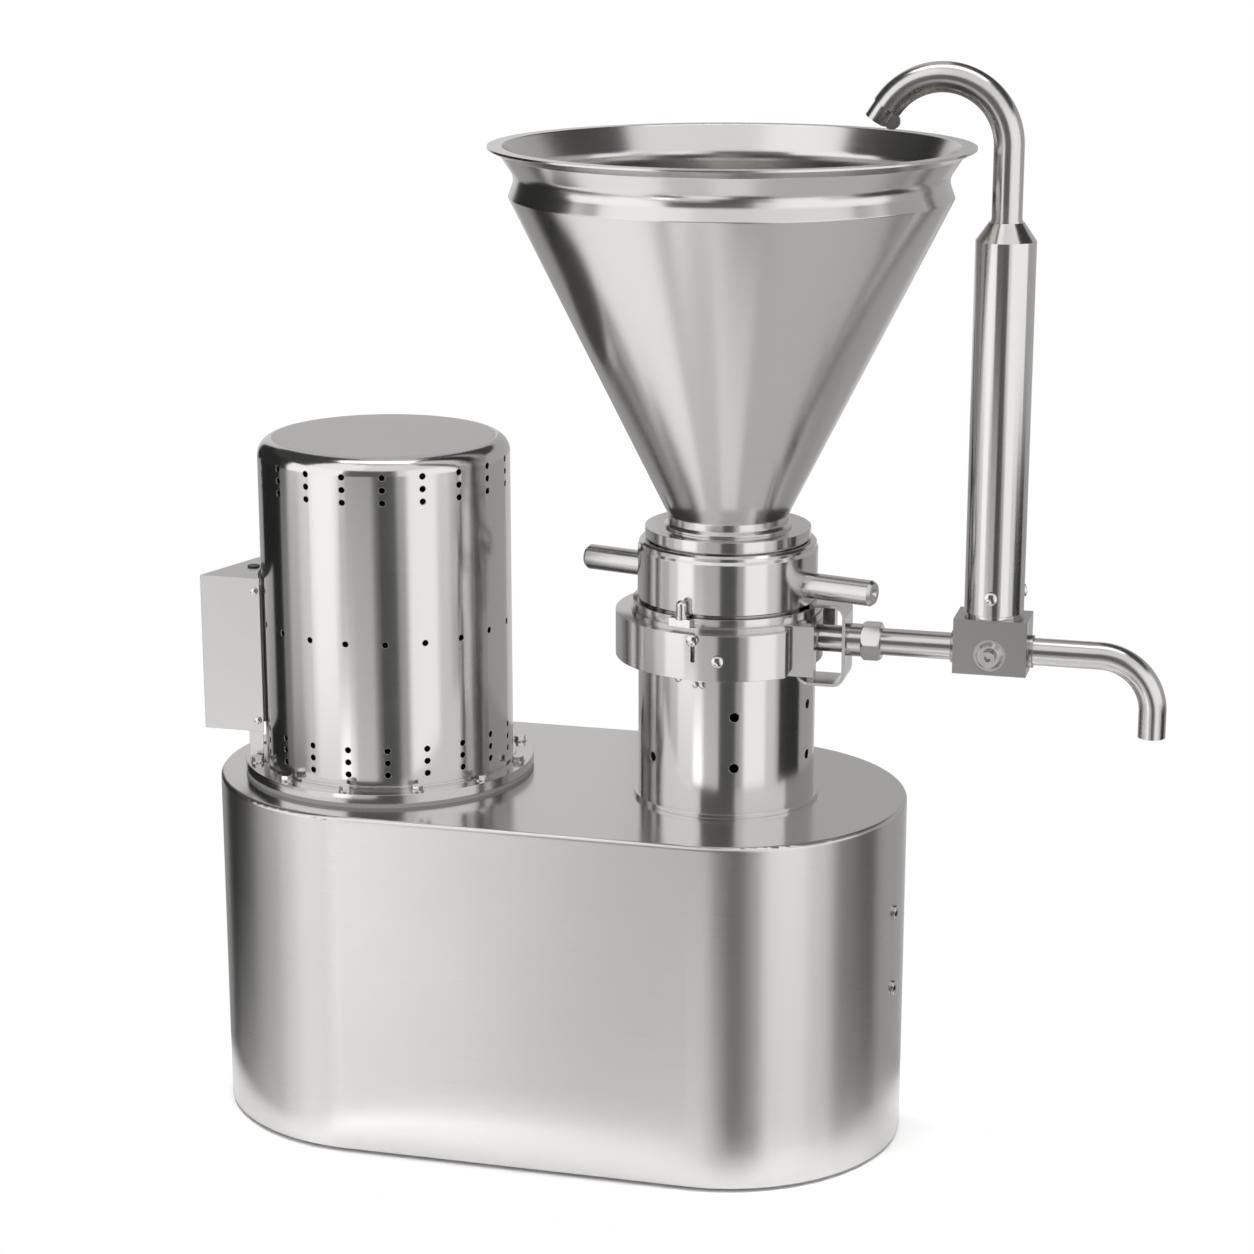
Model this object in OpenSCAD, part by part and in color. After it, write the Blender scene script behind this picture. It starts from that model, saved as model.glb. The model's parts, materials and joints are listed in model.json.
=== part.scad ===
// Vertical split colloid mill with a belt-driven spindle, in millimetres, +Z up.
// The origin is on the floor under the middle of the base, the outlet points to +X and the front to -Y.

/* [Base] */
// Overall length of the base
base_len = 680; // [660:5:760]
// Width of the base, the diameter of its round ends
base_w = 344; // [330:2:400]
// Height of the base shell above its feet
shell_h = 336; // [280:2:400]
// Thickness of the shell wall
shell_wall = 3; // [2:0.5:5]
// Thickness of the deck
deck_t = 8; // [6:1:12]
// Rounding along the top edge of the shell
edge_r = 4; // [2:0.5:8]
// Thickness of the bottom plate
bottom_t = 3; // [2:0.5:6]
// Height of the rubber feet
foot_h = 4; // [3:0.5:12]
// Diameter of the rubber feet
foot_d = 44; // [30:1:60]
// Distance of the outer feet from the shell wall
foot_inset = 20; // [10:1:40]
// Height of the lower side screw above the floor
side_screw_z = 165; // [120:1:180]
// Distance between the two side screws
side_screw_pitch = 76; // [60:1:100]
// Turn of the side screws from the long axis, towards the front
side_screw_turn = 9.6; // [0:0.2:30]
// Diameter of the hole that the spindle passes in the deck
deck_hole_d = 60; // [54:1:70]

/* [Motor] */
// Distance between the motor axis and the mill axis
centre_dist = 340; // [330:1:360]
// Distance of the motor axis from the middle of the base
motor_offset = 174; // [165:1:180]
// Diameter of the motor's mounting flange
motor_flange_d = 200; // [180:1:210]
// Thickness of the motor's mounting flange
motor_flange_t = 12; // [10:1:16]
// Diameter of the centring spigot under the motor
motor_spigot_d = 130; // [110:1:140]
// Diameter over the motor's cooling fins
motor_body_d = 184; // [170:1:190]
// Length of the finned frame
motor_body_h = 178; // [150:1:200]
// Depth of the cooling fins
fin_depth = 10; // [6:1:14]
// Number of cooling fins
fin_count = 24; // [16:1:36]
// Thickness of a cooling fin
fin_t = 3; // [2:0.5:4]
// Wall of the frame under the fins
frame_wall = 6; // [4:0.5:8]
// Diameter of the rotor core on the shaft
core_d = 100; // [80:1:110]
// Height of the fan cowl
cowl_h = 62; // [56:1:70]
// Thickness of the rear shield
rear_t = 14; // [13:1:18]
// Diameter of the motor shaft
motor_shaft_d = 25; // [20:1:30]
// Outer diameter of the motor bearings
motor_bearing_d = 52; // [47:1:62]
// Width of the motor bearings
motor_bearing_w = 15; // [12:1:18]

/* [Shroud] */
// Outer diameter of the motor shroud
shroud_d = 243; // [230:1:250]
// Height of the motor shroud above its flange
shroud_h = 318; // [300:1:340]
// Sheet thickness of the shroud
shroud_wall = 2; // [1.5:0.5:4]
// Rounding at the top of the shroud
shroud_top_r = 16; // [8:1:30]
// Diameter of the shroud flange
flange_d = 284; // [276:1:300]
// Thickness of the shroud flange
flange_t = 9; // [6:1:14]
// Thickness of the gasket under the flange
gasket_t = 4; // [2:0.5:6]
// Number of flange bolts
flange_bolts = 12; // [6:6:24]
// Diameter of the flange bolts
flange_bolt_d = 6; // [5:1:8]
// Diameter of the vent holes
vent_d = 6; // [4:0.5:8]
// Number of vent columns round the shroud
vent_columns = 20; // [12:1:24]
// Vertical pitch of the vent holes
vent_pitch = 12; // [10:1:16]
// Height of the lowest vent row above the flange
vent_low = 13; // [10:1:30]
// Height of the single middle row above the flange
vent_middle = 141; // [100:1:200]
// Distance of the highest vent row from the top of the shroud
vent_top = 17; // [17:1:40]

/* [Terminal box] */
// Height of the terminal box
box_h = 154; // [120:1:180]
// Height of the terminal box above the flange
box_lift = 29; // [20:1:60]
// Distance of the box's front face from the motor axis
box_front = 60; // [50:1:80]
// Distance of the box's back face from the motor axis
box_back = 52; // [40:1:70]
// Reach of the box's front corner from the motor axis
box_reach = 170; // [160:1:180]
// Angle of the box's outer wall to the front face
box_slant = 71.6; // [65:0.2:90]
// Sheet thickness of the box and its cover
box_wall = 2; // [1.5:0.5:4]
// Thickness of the saddle between the box and the shroud
saddle_t = 3; // [2:0.5:6]
// Height of the lower cover screw above the box's underside
box_screw_low = 11; // [8:1:20]
// Distance of the upper cover screw from the box's top
box_screw_high = 13; // [8:1:20]
// Reach of the bracket under the box from the motor axis
bracket_reach = 125; // [120:1:128]
// Distance of the blanking plug from the motor axis
blank_reach = 133; // [132:0.5:134]
// Direction of the blanking plug
blank_turn = 186.5; // [180:0.5:188]
// Diameter of the blanking plug's head
blank_d = 12; // [11:0.5:13]

/* [Drive] */
// Outer diameter of the motor pulley
motor_pulley_d = 120; // [100:1:140]
// Outer diameter of the mill pulley
mill_pulley_d = 100; // [90:1:120]
// Top width of a belt
belt_w = 13; // [10:0.5:17]
// Height of a belt
belt_h = 8; // [6:0.5:11]
// Distance between the two belts
belt_pitch = 16; // [15:0.5:20]

/* [Mill body] */
// Outer diameter of the pedestal tube
tube_d = 168.3; // [160:0.1:172]
// Wall of the pedestal tube
tube_wall = 4; // [3:0.5:6]
// Height of the pedestal tube above the deck
tube_h = 138; // [120:1:160]
// Diameter of the holes in the pedestal tube
tube_hole_d = 9; // [6:0.5:12]
// Height of the lower row of holes above the deck
tube_row_low = 48; // [30:1:60]
// Height of the upper row of holes above the deck
tube_row_high = 97.5; // [80:0.5:105]
// Width of the collar at the foot of the tube
foot_collar_w = 4.6; // [3:0.1:8]
// Height of the collar at the foot of the tube
foot_collar_h = 4; // [3:0.5:8]
// Outer diameter of the discharge housing
housing_d = 182; // [178:1:190]
// Height of the discharge housing above the tube
housing_h = 40; // [36:1:50]
// Thickness of the discharge housing's floor
floor_t = 12; // [8:1:14]
// Diameter of the discharge chamber
chamber_d = 152; // [148:1:158]
// Height of the collar flange
collar_h = 14; // [10:1:20]
// Step from the discharge housing in to the collar flange's upper tier
collar_step = 1.5; // [0.5:0.1:4]
// Wall of the clamp ring
clamp_wall = 14.8; // [10:0.2:18]
// Height of the clamp ring
clamp_h = 43; // [38:1:48]
// Distance from the mill axis to the clamp ring's flat ends
clamp_end_x = 72; // [68:1:80]
// Reach of the clamp ears from the mill axis
ear_reach = 95; // [88:1:100]
// Thickness of a clamp ear
ear_t = 14; // [8:1:18]
// Height of the clamp ears
ear_h = 48; // [40:1:54]

/* [Spindle] */
// Diameter of the spindle in its bearings
spindle_d = 40; // [35:1:45]
// Outer diameter of the spindle bearings
bearing_d = 80; // [75:1:90]
// Width of the spindle bearings
bearing_w = 18; // [15:1:22]
// Wall of the bearing housing round the bearings
bearing_wall = 10; // [6:1:14]
// Diameter of the spindle in the pulley and the rotor
spindle_end_d = 30; // [25:1:34]
// Large diameter of the grinding rotor
rotor_d = 80; // [70:1:90]
// Height of the grinding cone
rotor_h = 40; // [34:1:44]
// Half angle of the grinding cone
cone_angle = 15; // [10:0.5:20]
// Gap between rotor and stator at rest, square to the cone
grind_gap = 0.5; // [0.4:0.05:1]
// Number of coarse teeth
coarse_teeth = 16; // [10:1:20]
// Number of fine teeth
fine_teeth = 32; // [24:1:40]
// Lean of the teeth
tooth_lean = 18; // [0:1:30]
// Depth of the coarse tooth gaps
tooth_depth = 4; // [2:0.5:5]

/* [Adjuster] */
// Outer diameter of the adjusting ring
ring_d = 170; // [166:1:176]
// Height of the adjusting ring
ring_h = 56; // [48:1:64]
// Outer diameter of the stator carrier
carrier_d = 144; // [138:1:146]
// Outer diameter of the stator
stator_d = 120; // [112:1:124]
// Height of the handles above the ring's underside
handle_lift = 19.6; // [16:0.2:26]
// Diameter of the handle bars
handle_d = 24; // [18:1:28]
// Reach of the handles from the mill axis
handle_reach = 152; // [130:1:170]
// Turn of the right handle from the long axis
handle_turn = -15; // [-30:1:15]
// Direction of the stop pin
stop_turn = -105; // [-110:1:-100]
// Diameter of the stop pin
stop_d = 10; // [8:0.5:12]
// Height of the stop pin above its block
stop_h = 17; // [12:1:20]
// Diameter of the feed cap
cap_d = 156; // [150:1:160]
// Thickness of the feed cap
cap_t = 11; // [8:1:16]

/* [Hopper] */
// Outer diameter of the hopper neck
neck_d = 114; // [104:1:120]
// Height of the hopper neck
neck_h = 12; // [8:1:20]
// Diameter at the ridge above the cone
ridge_d = 407.6; // [380:0.2:430]
// Height of the cone
cone_h = 290; // [250:1:320]
// Depth of the groove above the ridge
groove_depth = 4.4; // [2:0.1:8]
// Height of the groove above the ridge
groove_h = 18; // [12:1:26]
// Flare of the lip beyond the ridge
lip_flare = 7; // [4:0.5:10]
// Height of the flared lip above the groove
lip_h = 30; // [20:1:40]
// Height of the rim's slope under its top
rim_drop = 6; // [4:0.5:10]
// Width of the flat rim
rim_w = 11.8; // [8:0.2:18]
// Sheet thickness of the hopper
hopper_wall = 2; // [1.5:0.5:3]

/* [Outlet] */
// Outer diameter of the outlet tube and the spout
pipe_d = 25.4; // [22:0.1:28]
// Wall of the outlet tube and the spout
pipe_wall = 2; // [1.5:0.5:3]
// Distance from the discharge housing to the union nut
nut_gap = 39.6; // [36:0.2:46]
// Width across the flats of the union nut
nut_af = 33; // [30:1:40]
// Length of the union nut
nut_len = 18; // [16:0.5:28]
// Length of outlet tube between the union nut and the valve block
tube_show = 69.9; // [56:0.1:90]
// Length of the valve block
block_len = 68; // [60:1:76]
// Depth of the valve block
block_w = 47; // [42:1:54]
// Height of the valve block
block_h = 52; // [46:1:60]
// Distance from the outlet axis down to the block's underside
block_drop = 19; // [18:0.5:26]
// Diameter of the valve plug
plug_d = 30; // [27:0.5:34]
// Straight length of the spout
spout_len = 65; // [50:1:90]
// Bend radius of the spout
spout_bend_r = 50; // [40:1:70]
// Straight length of the spout's end
spout_drop = 24; // [16:1:50]
// Thickness of the stirrup strap
strap_t = 3; // [2:0.5:5]
// Width of the stirrup strap
strap_w = 40; // [30:1:50]
// Distance from the discharge housing to the outside of the stirrup
strap_gap = 26; // [20:1:30]

/* [Return line] */
// Outer diameter of the return column
column_d = 55; // [48:0.5:60]
// Wall of the return column
column_wall = 2.5; // [2:0.5:4]
// Length of the column's straight tube
column_h = 342; // [300:1:380]
// Gap between the block and the column
column_gap = 4; // [2:0.5:8]
// Height of the cone on the column
column_cone_h = 16.5; // [12:0.5:24]
// Outer diameter of the gooseneck
neck_pipe_d = 29; // [25:0.5:32]
// Straight length of the gooseneck above the cone
gooseneck_rise = 68; // [40:1:90]
// Bend radius of the gooseneck
gooseneck_r = 60; // [55:1:80]
// Turn of the gooseneck's bend
gooseneck_turn = 147; // [120:1:160]
// Length of the nozzle sleeve that shows
nozzle_len = 18; // [12:1:30]
// Diameter of the nozzle sleeve
nozzle_d = 23; // [20:0.5:25]

/* [Fasteners] */
// Head diameter of the base's side screws
side_screw_d = 14; // [10:1:18]
// Head height of the base's side screws
side_head_h = 4; // [3:0.5:6]
// Shank diameter of the base's side screws
side_shank_d = 6; // [5:1:8]
// Width across the flats of the flange bolts' heads
bolt_head_af = 10; // [8:1:10]
// Head height of the flange bolts
bolt_head_h = 4; // [3:0.5:6]
// Head diameter of the terminal box's screws
box_screw_d = 7; // [5:0.5:8]
// Head height of the terminal box's screws
box_head_h = 2.5; // [2:0.5:4]
// Shank diameter of the terminal box's screws
box_shank_d = 4; // [3:0.5:5]
// Head diameter of the pedestal's small screws
tube_screw_d = 6; // [5:0.5:6.5]
// Head height of the pedestal's small screws
tube_head_h = 2; // [1.5:0.5:3]
// Shank diameter of the pedestal's small screws
tube_shank_d = 3; // [2:0.5:4]
// Head diameter of the clamp ring's screws
clamp_screw_d = 11; // [9:0.5:13]
// Head height of the clamp ring's screws
clamp_head_h = 4; // [3:0.5:6]
// Shank diameter of the clamp ring's screws
clamp_shank_d = 5; // [4:0.5:6]
// Shank length of the clamp ring's screws
clamp_shank_len = 8; // [6:1:12]
// Head diameter of the column's screws
column_screw_d = 12; // [10:1:14]
// Head height of the column's screws
column_head_h = 4; // [3:0.5:6]
// Shank diameter of the column's screws
column_shank_d = 8; // [6:1:9]

/* [Fits] */
// Radial clearance of shafts that run in their bores
run_fit = 0.05; // [0.02:0.01:0.1]
// Radial clearance of pieces that are pressed or screwed together
seat_fit = 0.03; // [0.02:0.01:0.08]
// Gap between faces that move past each other
move_gap = 0.3; // [0.25:0.05:0.5]

/* [Hidden] */
$fn = 96;
// Overlap of a cutting shape past the face that it cuts
cut = 1;
half_len = (base_len - base_w) / 2;
deck_z = foot_h + shell_h;
motor_x = -motor_offset;
mill_x = centre_dist - motor_offset;
inner_w = base_w - 2 * shell_wall;
// Heights above the deck on the motor side
flange_z = gasket_t;
shroud_z = gasket_t + flange_t;
box_z = shroud_z + box_lift;
flange_lip = 7;
flange_bore_d = shroud_d - 2 * flange_lip;
flange_pcd = (flange_d + shroud_d) / 2;
shroud_foot_w = 3;
shroud_foot_h = 2;
gasket_step = 0.5;
bolt_washer_h = 1.2;
bolt_washer_w = 3;
// Depth of the motor bearings in the end shield and past the rear shield, and their hubs
bearing_sink = 4;
rear_sink = 6;
hub_wall = 10;
shaft_gap = 1;
shaft_step = 2;
core_gap = 30;
rim_step = 2;
cowl_t = 2;
cowl_slots = 12;
cowl_slot = [25, 50, 10];
// Fan: gap above the rear shield, height, disc thickness, hub wall, blade thickness and blade gap to the cowl
fan_gap = 4;
fan_h = 22;
fan_disc_t = 3;
fan_hub_wall = 8;
fan_blade_t = 3;
fan_tip_gap = 12;
fan_blades = 8;
fan_bore_d = motor_shaft_d - 2 * shaft_step;
fan_tip_r = motor_body_d / 2 - fan_tip_gap;
shaft_end = 4;
frame_z = motor_flange_t;
rear_z = frame_z + motor_body_h;
// Details of the terminal box
blank_head_h = 1.5;
blank_shank_d = 8;
blank_shank_len = 3;
saddle_margin = 8;
bracket_t = 3;
boss_w = 2;
boss_len = 5;
// Bearing races and the depth of the shields between them
race_t = 4;
shield_depth = 1;
// Heights above the deck on the mill side
housing_z = tube_h;
chamber_z = housing_z + floor_t;
collar_z = housing_z + housing_h;
ring_seat_z = collar_z + collar_h;
ring_gap = 2;
ring_z = ring_seat_z + ring_gap;
cap_gap = 1;
cap_z = ring_z + ring_h + cap_gap;
hopper_z = cap_z + cap_t;
outlet_z = housing_z + housing_h / 2;
handle_z = ring_z + handle_lift;
spigot_h = 20;
spigot_wall = 8;
spigot_d = tube_d - 2 * tube_wall - 2 * seat_fit;
spigot_bore_d = spigot_d - 2 * spigot_wall;
collar_d = housing_d - 2 * collar_step;
clamp_bore_d = housing_d + 2 * seat_fit;
clamp_d = clamp_bore_d + 2 * clamp_wall;
carrier_bore_d = carrier_d + 2 * move_gap;
key_z = collar_z + collar_h / 2;
// Directions of the pedestal's holes, the upper row without the pair at the left front and the right back
tube_low_turns = [-72.5, -12.5, 47.5, 107.5, 167.5, 227.5];
tube_high_turns = [-72.5, -12.5, 107.5, 167.5];
// Direction of each small screw in the pedestal and its distance from the tube's top
tube_screw_list = [[-109.6, 7], [-97.5, 10.5], [-93, 10.5]];
// Tiers of the collar flange and the width of its seat under the adjusting ring
collar_low_h = 5.6;
collar_line = 1;
ring_seat_w = 6;
key_d = 8;
key_depth = 6;
key_travel = 2;
// Block under the stop pin
stop_block_size = [12, 22, 8];
stop_inset = 1;
stop_washer_w = 0.7;
stop_washer_h = 3;
stop_gap = 0.8;
stop_reach = ring_d / 2 + stop_d / 2 + stop_washer_w + stop_gap;
// Clamp ring: root of the ears, screw directions, and the slot under the upper screw
ear_root = 6;
ear_lap = 5;
clamp_slot_turn = -94.9;
clamp_low_turn = -82.3;
clamp_screw_drop = 5;
clamp_low_z = 19;
clamp_slot_w = 4;
clamp_slot_z = 17;
// Adjusting ring and handles
ring_bevel = 1;
ring_step = 1.5;
ring_line_z = 8;
handle_gap = 1;
handle_bevel = [2, 3];
dimple_r = 5;
// Spindle levels
bearing_drop = 2;
bearing_top_z = housing_z - bearing_drop;
bearing_low_z = 20;
bearing_housing_z = 10;
bearing_flange_t = 12;
bearing_lip = 5;
shoulder_w = 4;
rotor_lift = 6;
rotor_z = chamber_z + rotor_lift;
rotor_top_z = rotor_z + rotor_h;
stator_low = 4;
stator_past = 6;
stator_z = rotor_z + stator_low;
stator_top_z = rotor_top_z + stator_past;
carrier_lap = 4;
carrier_z = stator_z + carrier_lap;
feed_bore_d = 92;
stator_shift = grind_gap / cos(cone_angle);
// Teeth: gap widths, depth of the fine ones, where each zone starts and stops, and the run-out of the cutter
coarse_gap_w = 5;
fine_gap_w = 2.4;
fine_depth = 2.2;
fine_from = 3;
fine_to = 18;
coarse_from = 22;
tooth_run_out = 6;
funnel_drop = 2;
// Rotor nut and the thread under it
nut_h = 20;
nut_step = 3;
nut_flange_h = 4;
thread_d = spindle_end_d - 2 * nut_step;
thread_end = 6;
// Shaft seal
seal_w = 8;
seal_h = 10;
seal_lip = 4;
seal_d = spindle_d + 2 * seal_w;
spindle_gap = 2;
cap_step = 1.5;
// Hopper: bead at the foot, overall height and radius of the rim
bead_w = 3;
bead_h = 2;
hopper_h = neck_h + cone_h + groove_h + lip_h + hopper_wall;
rim_r = ridge_d / 2 + lip_flare + rim_w;
// Belt levels and geometry
belt_drop = 26;
belt_z = -deck_t - belt_drop;
belt_slope = 18;
pulley_w = belt_pitch + 2 * belt_w;
groove_floor = 2;
belt_lap = 2;
belt_hair = 0.06;
belt_turn = acos((motor_pulley_d - mill_pulley_d) / 2 / centre_dist);
belt_run = sqrt(pow(centre_dist, 2) - pow((motor_pulley_d - mill_pulley_d) / 2, 2));
// Outlet, valve and return line
pipe_bore_d = pipe_d - 2 * pipe_wall;
strap_reach = housing_d / 2 + strap_gap;
nut_x = housing_d / 2 + nut_gap;
block_x = nut_x + nut_len + tube_show;
nipple_shelf = 3;
nipple_x = chamber_d / 2 + nipple_shelf;
ferrule_w = 2.8;
nut_bevel = 4;
pipe_collar_w = 2.5;
pipe_collar_h = 4;
block_shift = 1.5;
strap_corner = 12;
strap_drop = 22;
block_socket = 8;
block_cx = block_x + block_len / 2;
block_z = outlet_z - block_drop;
block_top_z = block_z + block_h;
block_front = block_w / 2 + block_shift;
block_wall = 5;
plug_len = block_w - block_wall;
plug_bore_step = 1;
plug_bore_d = pipe_bore_d - 2 * plug_bore_step;
plug_skirt = [26, 20, 5];
plug_head_d = 13;
plug_head_h = 11;
plug_key_d = 7;
plug_key_depth = 5;
column_z = block_top_z + column_gap;
column_top_z = column_z + column_h;
socket_d = column_d - 2 * column_wall - 2 * run_fit;
socket_h = 38;
column_screw_lift = 17.5;
column_screw_z = column_z + column_screw_lift;
column_turns = [-90, 30, 150];
socket_groove = 2;
column_roof_t = 2;
cone_lip = 1.5;
neck_wall = 2;
nozzle_wall = 2;
nozzle_end_gap = 2;
cone_top_z = column_top_z + column_cone_h;
gooseneck_z = cone_top_z - column_cone_h / 2;
bend_z = cone_top_z + gooseneck_rise;
nozzle_socket = 14;

// Places its children on the deck at the motor axis
module at_motor() {
    translate([motor_x, 0, deck_z]) children();
}

// Places its children on the deck at the mill axis
module at_mill() {
    translate([mill_x, 0, deck_z]) children();
}

// Points the children's Z axis outwards in the direction turn, starting at radius reach and height z
module radial(turn, reach, z) {
    rotate([0, 0, turn]) translate([reach, 0, z]) rotate([0, 90, 0]) children();
}

// Flat ring standing on z
module ring(outer_d, inner_d, z, h) {
    translate([0, 0, z]) difference() {
        cylinder(d = outer_d, h = h);
        translate([0, 0, -cut]) cylinder(d = inner_d, h = h + 2 * cut);
    }
}

// Plain round bar standing on z
module bar(d, z, h) {
    translate([0, 0, z]) cylinder(d = d, h = h);
}

// Dome-headed screw on the outside of a face at height 0, its shank pointing down
module button_screw(head_d, head_h, shank_d, shank_len) {
    intersection() {
        cylinder(d = head_d, h = head_h);
        translate([0, 0, head_h - head_d]) sphere(r = head_d);
    }
    translate([0, 0, -shank_len]) cylinder(d = shank_d, h = shank_len + head_h / 2);
}

// Hexagon bolt with a washer on a face at height 0, its shank pointing down
module hex_bolt(af, head_h, shank_d, shank_len) {
    cylinder(d = af + bolt_washer_w, h = bolt_washer_h);
    cylinder(d = af / cos(30), h = bolt_washer_h + head_h, $fn = 6);
    translate([0, 0, -shank_len]) cylinder(d = shank_d, h = shank_len + bolt_washer_h);
}

// Hole for a screw's shank from a face at height 0 through a wall
module screw_hole(shank_d, wall) {
    translate([0, 0, -wall - cut]) cylinder(d = shank_d + 2 * seat_fit, h = wall + 2 * cut);
}

// Outline of the base with round ends
module stadium(w) {
    for (side = [-1, 1]) translate([side * half_len, 0]) circle(d = w);
    square([2 * half_len, w], center = true);
}

// Half section of the base with its rounded top edge
module base_profile() {
    square([base_w / 2 - edge_r, shell_h]);
    square([base_w / 2, shell_h - edge_r]);
    translate([base_w / 2 - edge_r, shell_h - edge_r]) circle(r = edge_r);
}

module base_solid() {
    for (side = [-1, 1])
        translate([side * half_len, 0, 0]) rotate([0, 0, -90 * side]) rotate_extrude(angle = 180) base_profile();
    rotate([90, 0, 90]) translate([0, 0, -half_len]) linear_extrude(2 * half_len) {
        base_profile();
        mirror([1, 0]) base_profile();
    }
}

module base_shell() color("silver") difference() {
    translate([0, 0, foot_h]) base_solid();
    translate([0, 0, foot_h - cut]) linear_extrude(shell_h - deck_t + cut) stadium(inner_w);
    at_motor() bar(motor_spigot_d + 2 * seat_fit, -deck_t - cut, deck_t + 2 * cut);
    at_mill() bar(deck_hole_d, -deck_t - cut, deck_t + 2 * cut);
    at_motor() flange_bolt_holes(-deck_t - cut, deck_t + 2 * cut);
    side_screw_places() screw_hole(side_shank_d, shell_wall);
}

module bottom_plate() color("dimgray") translate([0, 0, foot_h]) linear_extrude(bottom_t)
    stadium(inner_w - 2 * move_gap);

module rubber_feet() color("black") {
    foot_y = inner_w / 2 - foot_inset - foot_d / 2;
    cylinder(d = foot_d, h = foot_h);
    for (sx = [-1, 1])
        for (sy = [-1, 1])
            translate([sx * half_len, sy * foot_y, 0]) cylinder(d = foot_d, h = foot_h);
}

// Puts its children on the right end of the shell at both side screws
module side_screw_places() {
    for (row = [0, 1])
        translate([half_len, 0, side_screw_z + row * side_screw_pitch])
            radial(-side_screw_turn, base_w / 2, 0) children();
}

module base_side_screws() color("gainsboro") side_screw_places()
    button_screw(side_screw_d, side_head_h, side_shank_d, shell_wall);

// Repeats its children at the flange bolts
module bolt_circle() {
    for (i = [0 : flange_bolts - 1])
        rotate([0, 0, i * 360 / flange_bolts]) translate([flange_pcd / 2, 0, 0]) children();
}

module flange_bolt_holes(z, h) {
    bolt_circle() bar(flange_bolt_d + 2 * seat_fit, z, h);
}

module shroud_gasket() color("dimgray") at_motor() difference() {
    ring(flange_d - 2 * gasket_step, flange_bore_d, 0, gasket_t);
    flange_bolt_holes(-cut, gasket_t + 2 * cut);
}

module shroud_flange() color("silver") at_motor() difference() {
    ring(flange_d, flange_bore_d, flange_z, flange_t);
    flange_bolt_holes(flange_z - cut, flange_t + 2 * cut);
}

module flange_bolts() color("gainsboro") at_motor() bolt_circle() translate([0, 0, shroud_z])
    hex_bolt(bolt_head_af, bolt_head_h, flange_bolt_d, shroud_z + deck_t);

// Half section of the shroud, outside or inside by the inset
module shroud_profile(inset) {
    r = shroud_d / 2 - inset;
    round_r = shroud_top_r - inset;
    top = shroud_h - inset;
    square([r, top - round_r]);
    square([r - round_r, top]);
    translate([r - round_r, top - round_r]) circle(r = round_r);
}

module vent(turn, z) {
    radial(turn, shroud_d / 2 - shroud_wall - cut, z) cylinder(d = vent_d, h = shroud_wall + 2 * cut);
}

module motor_shroud() color("silver") at_motor() translate([0, 0, shroud_z]) difference() {
    union() {
        rotate_extrude() shroud_profile(0);
        cylinder(d = shroud_d + 2 * shroud_foot_w, h = shroud_foot_h);
    }
    rotate_extrude() shroud_profile(shroud_wall);
    translate([0, 0, -cut]) cylinder(d = shroud_d - 2 * shroud_wall, h = 2 * cut);
    for (i = [0 : vent_columns - 1]) {
        turn = -90 + i * 360 / vent_columns;
        vent(turn, vent_middle);
        for (row = [0 : 2]) {
            vent(turn, vent_low + row * vent_pitch);
            vent(turn, shroud_h - vent_top - row * vent_pitch);
        }
    }
}

module motor_end_shield() color("slategray") at_motor() difference() {
    union() {
        bar(motor_spigot_d, -deck_t / 2, deck_t / 2 + cut);
        bar(motor_flange_d, 0, motor_flange_t);
        bar(motor_bearing_d + 2 * hub_wall, 0, motor_flange_t + motor_bearing_w);
    }
    bar(motor_shaft_d + 2 * shaft_gap, -deck_t, deck_t + motor_flange_t);
    bar(motor_bearing_d + 2 * seat_fit, motor_flange_t - bearing_sink, motor_bearing_w + bearing_sink + cut);
}

// Ring of cooling fins, seen from above
module fin_plan() {
    difference() {
        union() {
            circle(d = motor_body_d - 2 * fin_depth);
            for (i = [0 : fin_count - 1])
                rotate(i * 360 / fin_count) translate([motor_body_d / 2 - fin_depth - cut, -fin_t / 2])
                    square([fin_depth + cut, fin_t]);
        }
        circle(d = motor_body_d - 2 * fin_depth - 2 * frame_wall);
    }
}

module motor_frame() color("slategray") at_motor() translate([0, 0, frame_z])
    linear_extrude(motor_body_h) fin_plan();

module motor_rear_shield() color("slategray") at_motor() difference() {
    union() {
        bar(motor_body_d - 2 * rim_step, rear_z, rear_t);
        bar(motor_bearing_d + 2 * hub_wall, rear_z - rear_sink, rear_t);
    }
    bar(motor_shaft_d + 2 * shaft_gap, rear_z, rear_t + cut);
    bar(motor_bearing_d + 2 * seat_fit, rear_z - rear_sink - cut, motor_bearing_w + cut);
}

// Deep-groove bearing with its two rings joined by shields
module bearing(outer_d, bore_d, w) {
    difference() {
        ring(outer_d, bore_d + 2 * run_fit, 0, w);
        for (z = [-cut, w - shield_depth])
            ring(outer_d - 2 * race_t, bore_d + 2 * race_t, z, cut + shield_depth);
    }
}

module motor_bearings() color("gainsboro") at_motor() {
    translate([0, 0, motor_flange_t - bearing_sink]) bearing(motor_bearing_d, motor_shaft_d, motor_bearing_w);
    translate([0, 0, rear_z - rear_sink]) bearing(motor_bearing_d, motor_shaft_d, motor_bearing_w);
}

module fan_cowl() color("slategray") at_motor() difference() {
    bar(motor_body_d, rear_z, cowl_h);
    bar(motor_body_d - 2 * rim_step + 2 * seat_fit, rear_z - cut, cowl_h - cowl_t + cut);
    for (i = [0 : cowl_slots - 1])
        rotate([0, 0, i * 360 / cowl_slots])
            translate([cowl_slot[0], -cowl_slot[2] / 2, rear_z + cowl_h - cowl_t - cut])
                cube([cowl_slot[1], cowl_slot[2], cowl_t + 2 * cut]);
}

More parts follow.
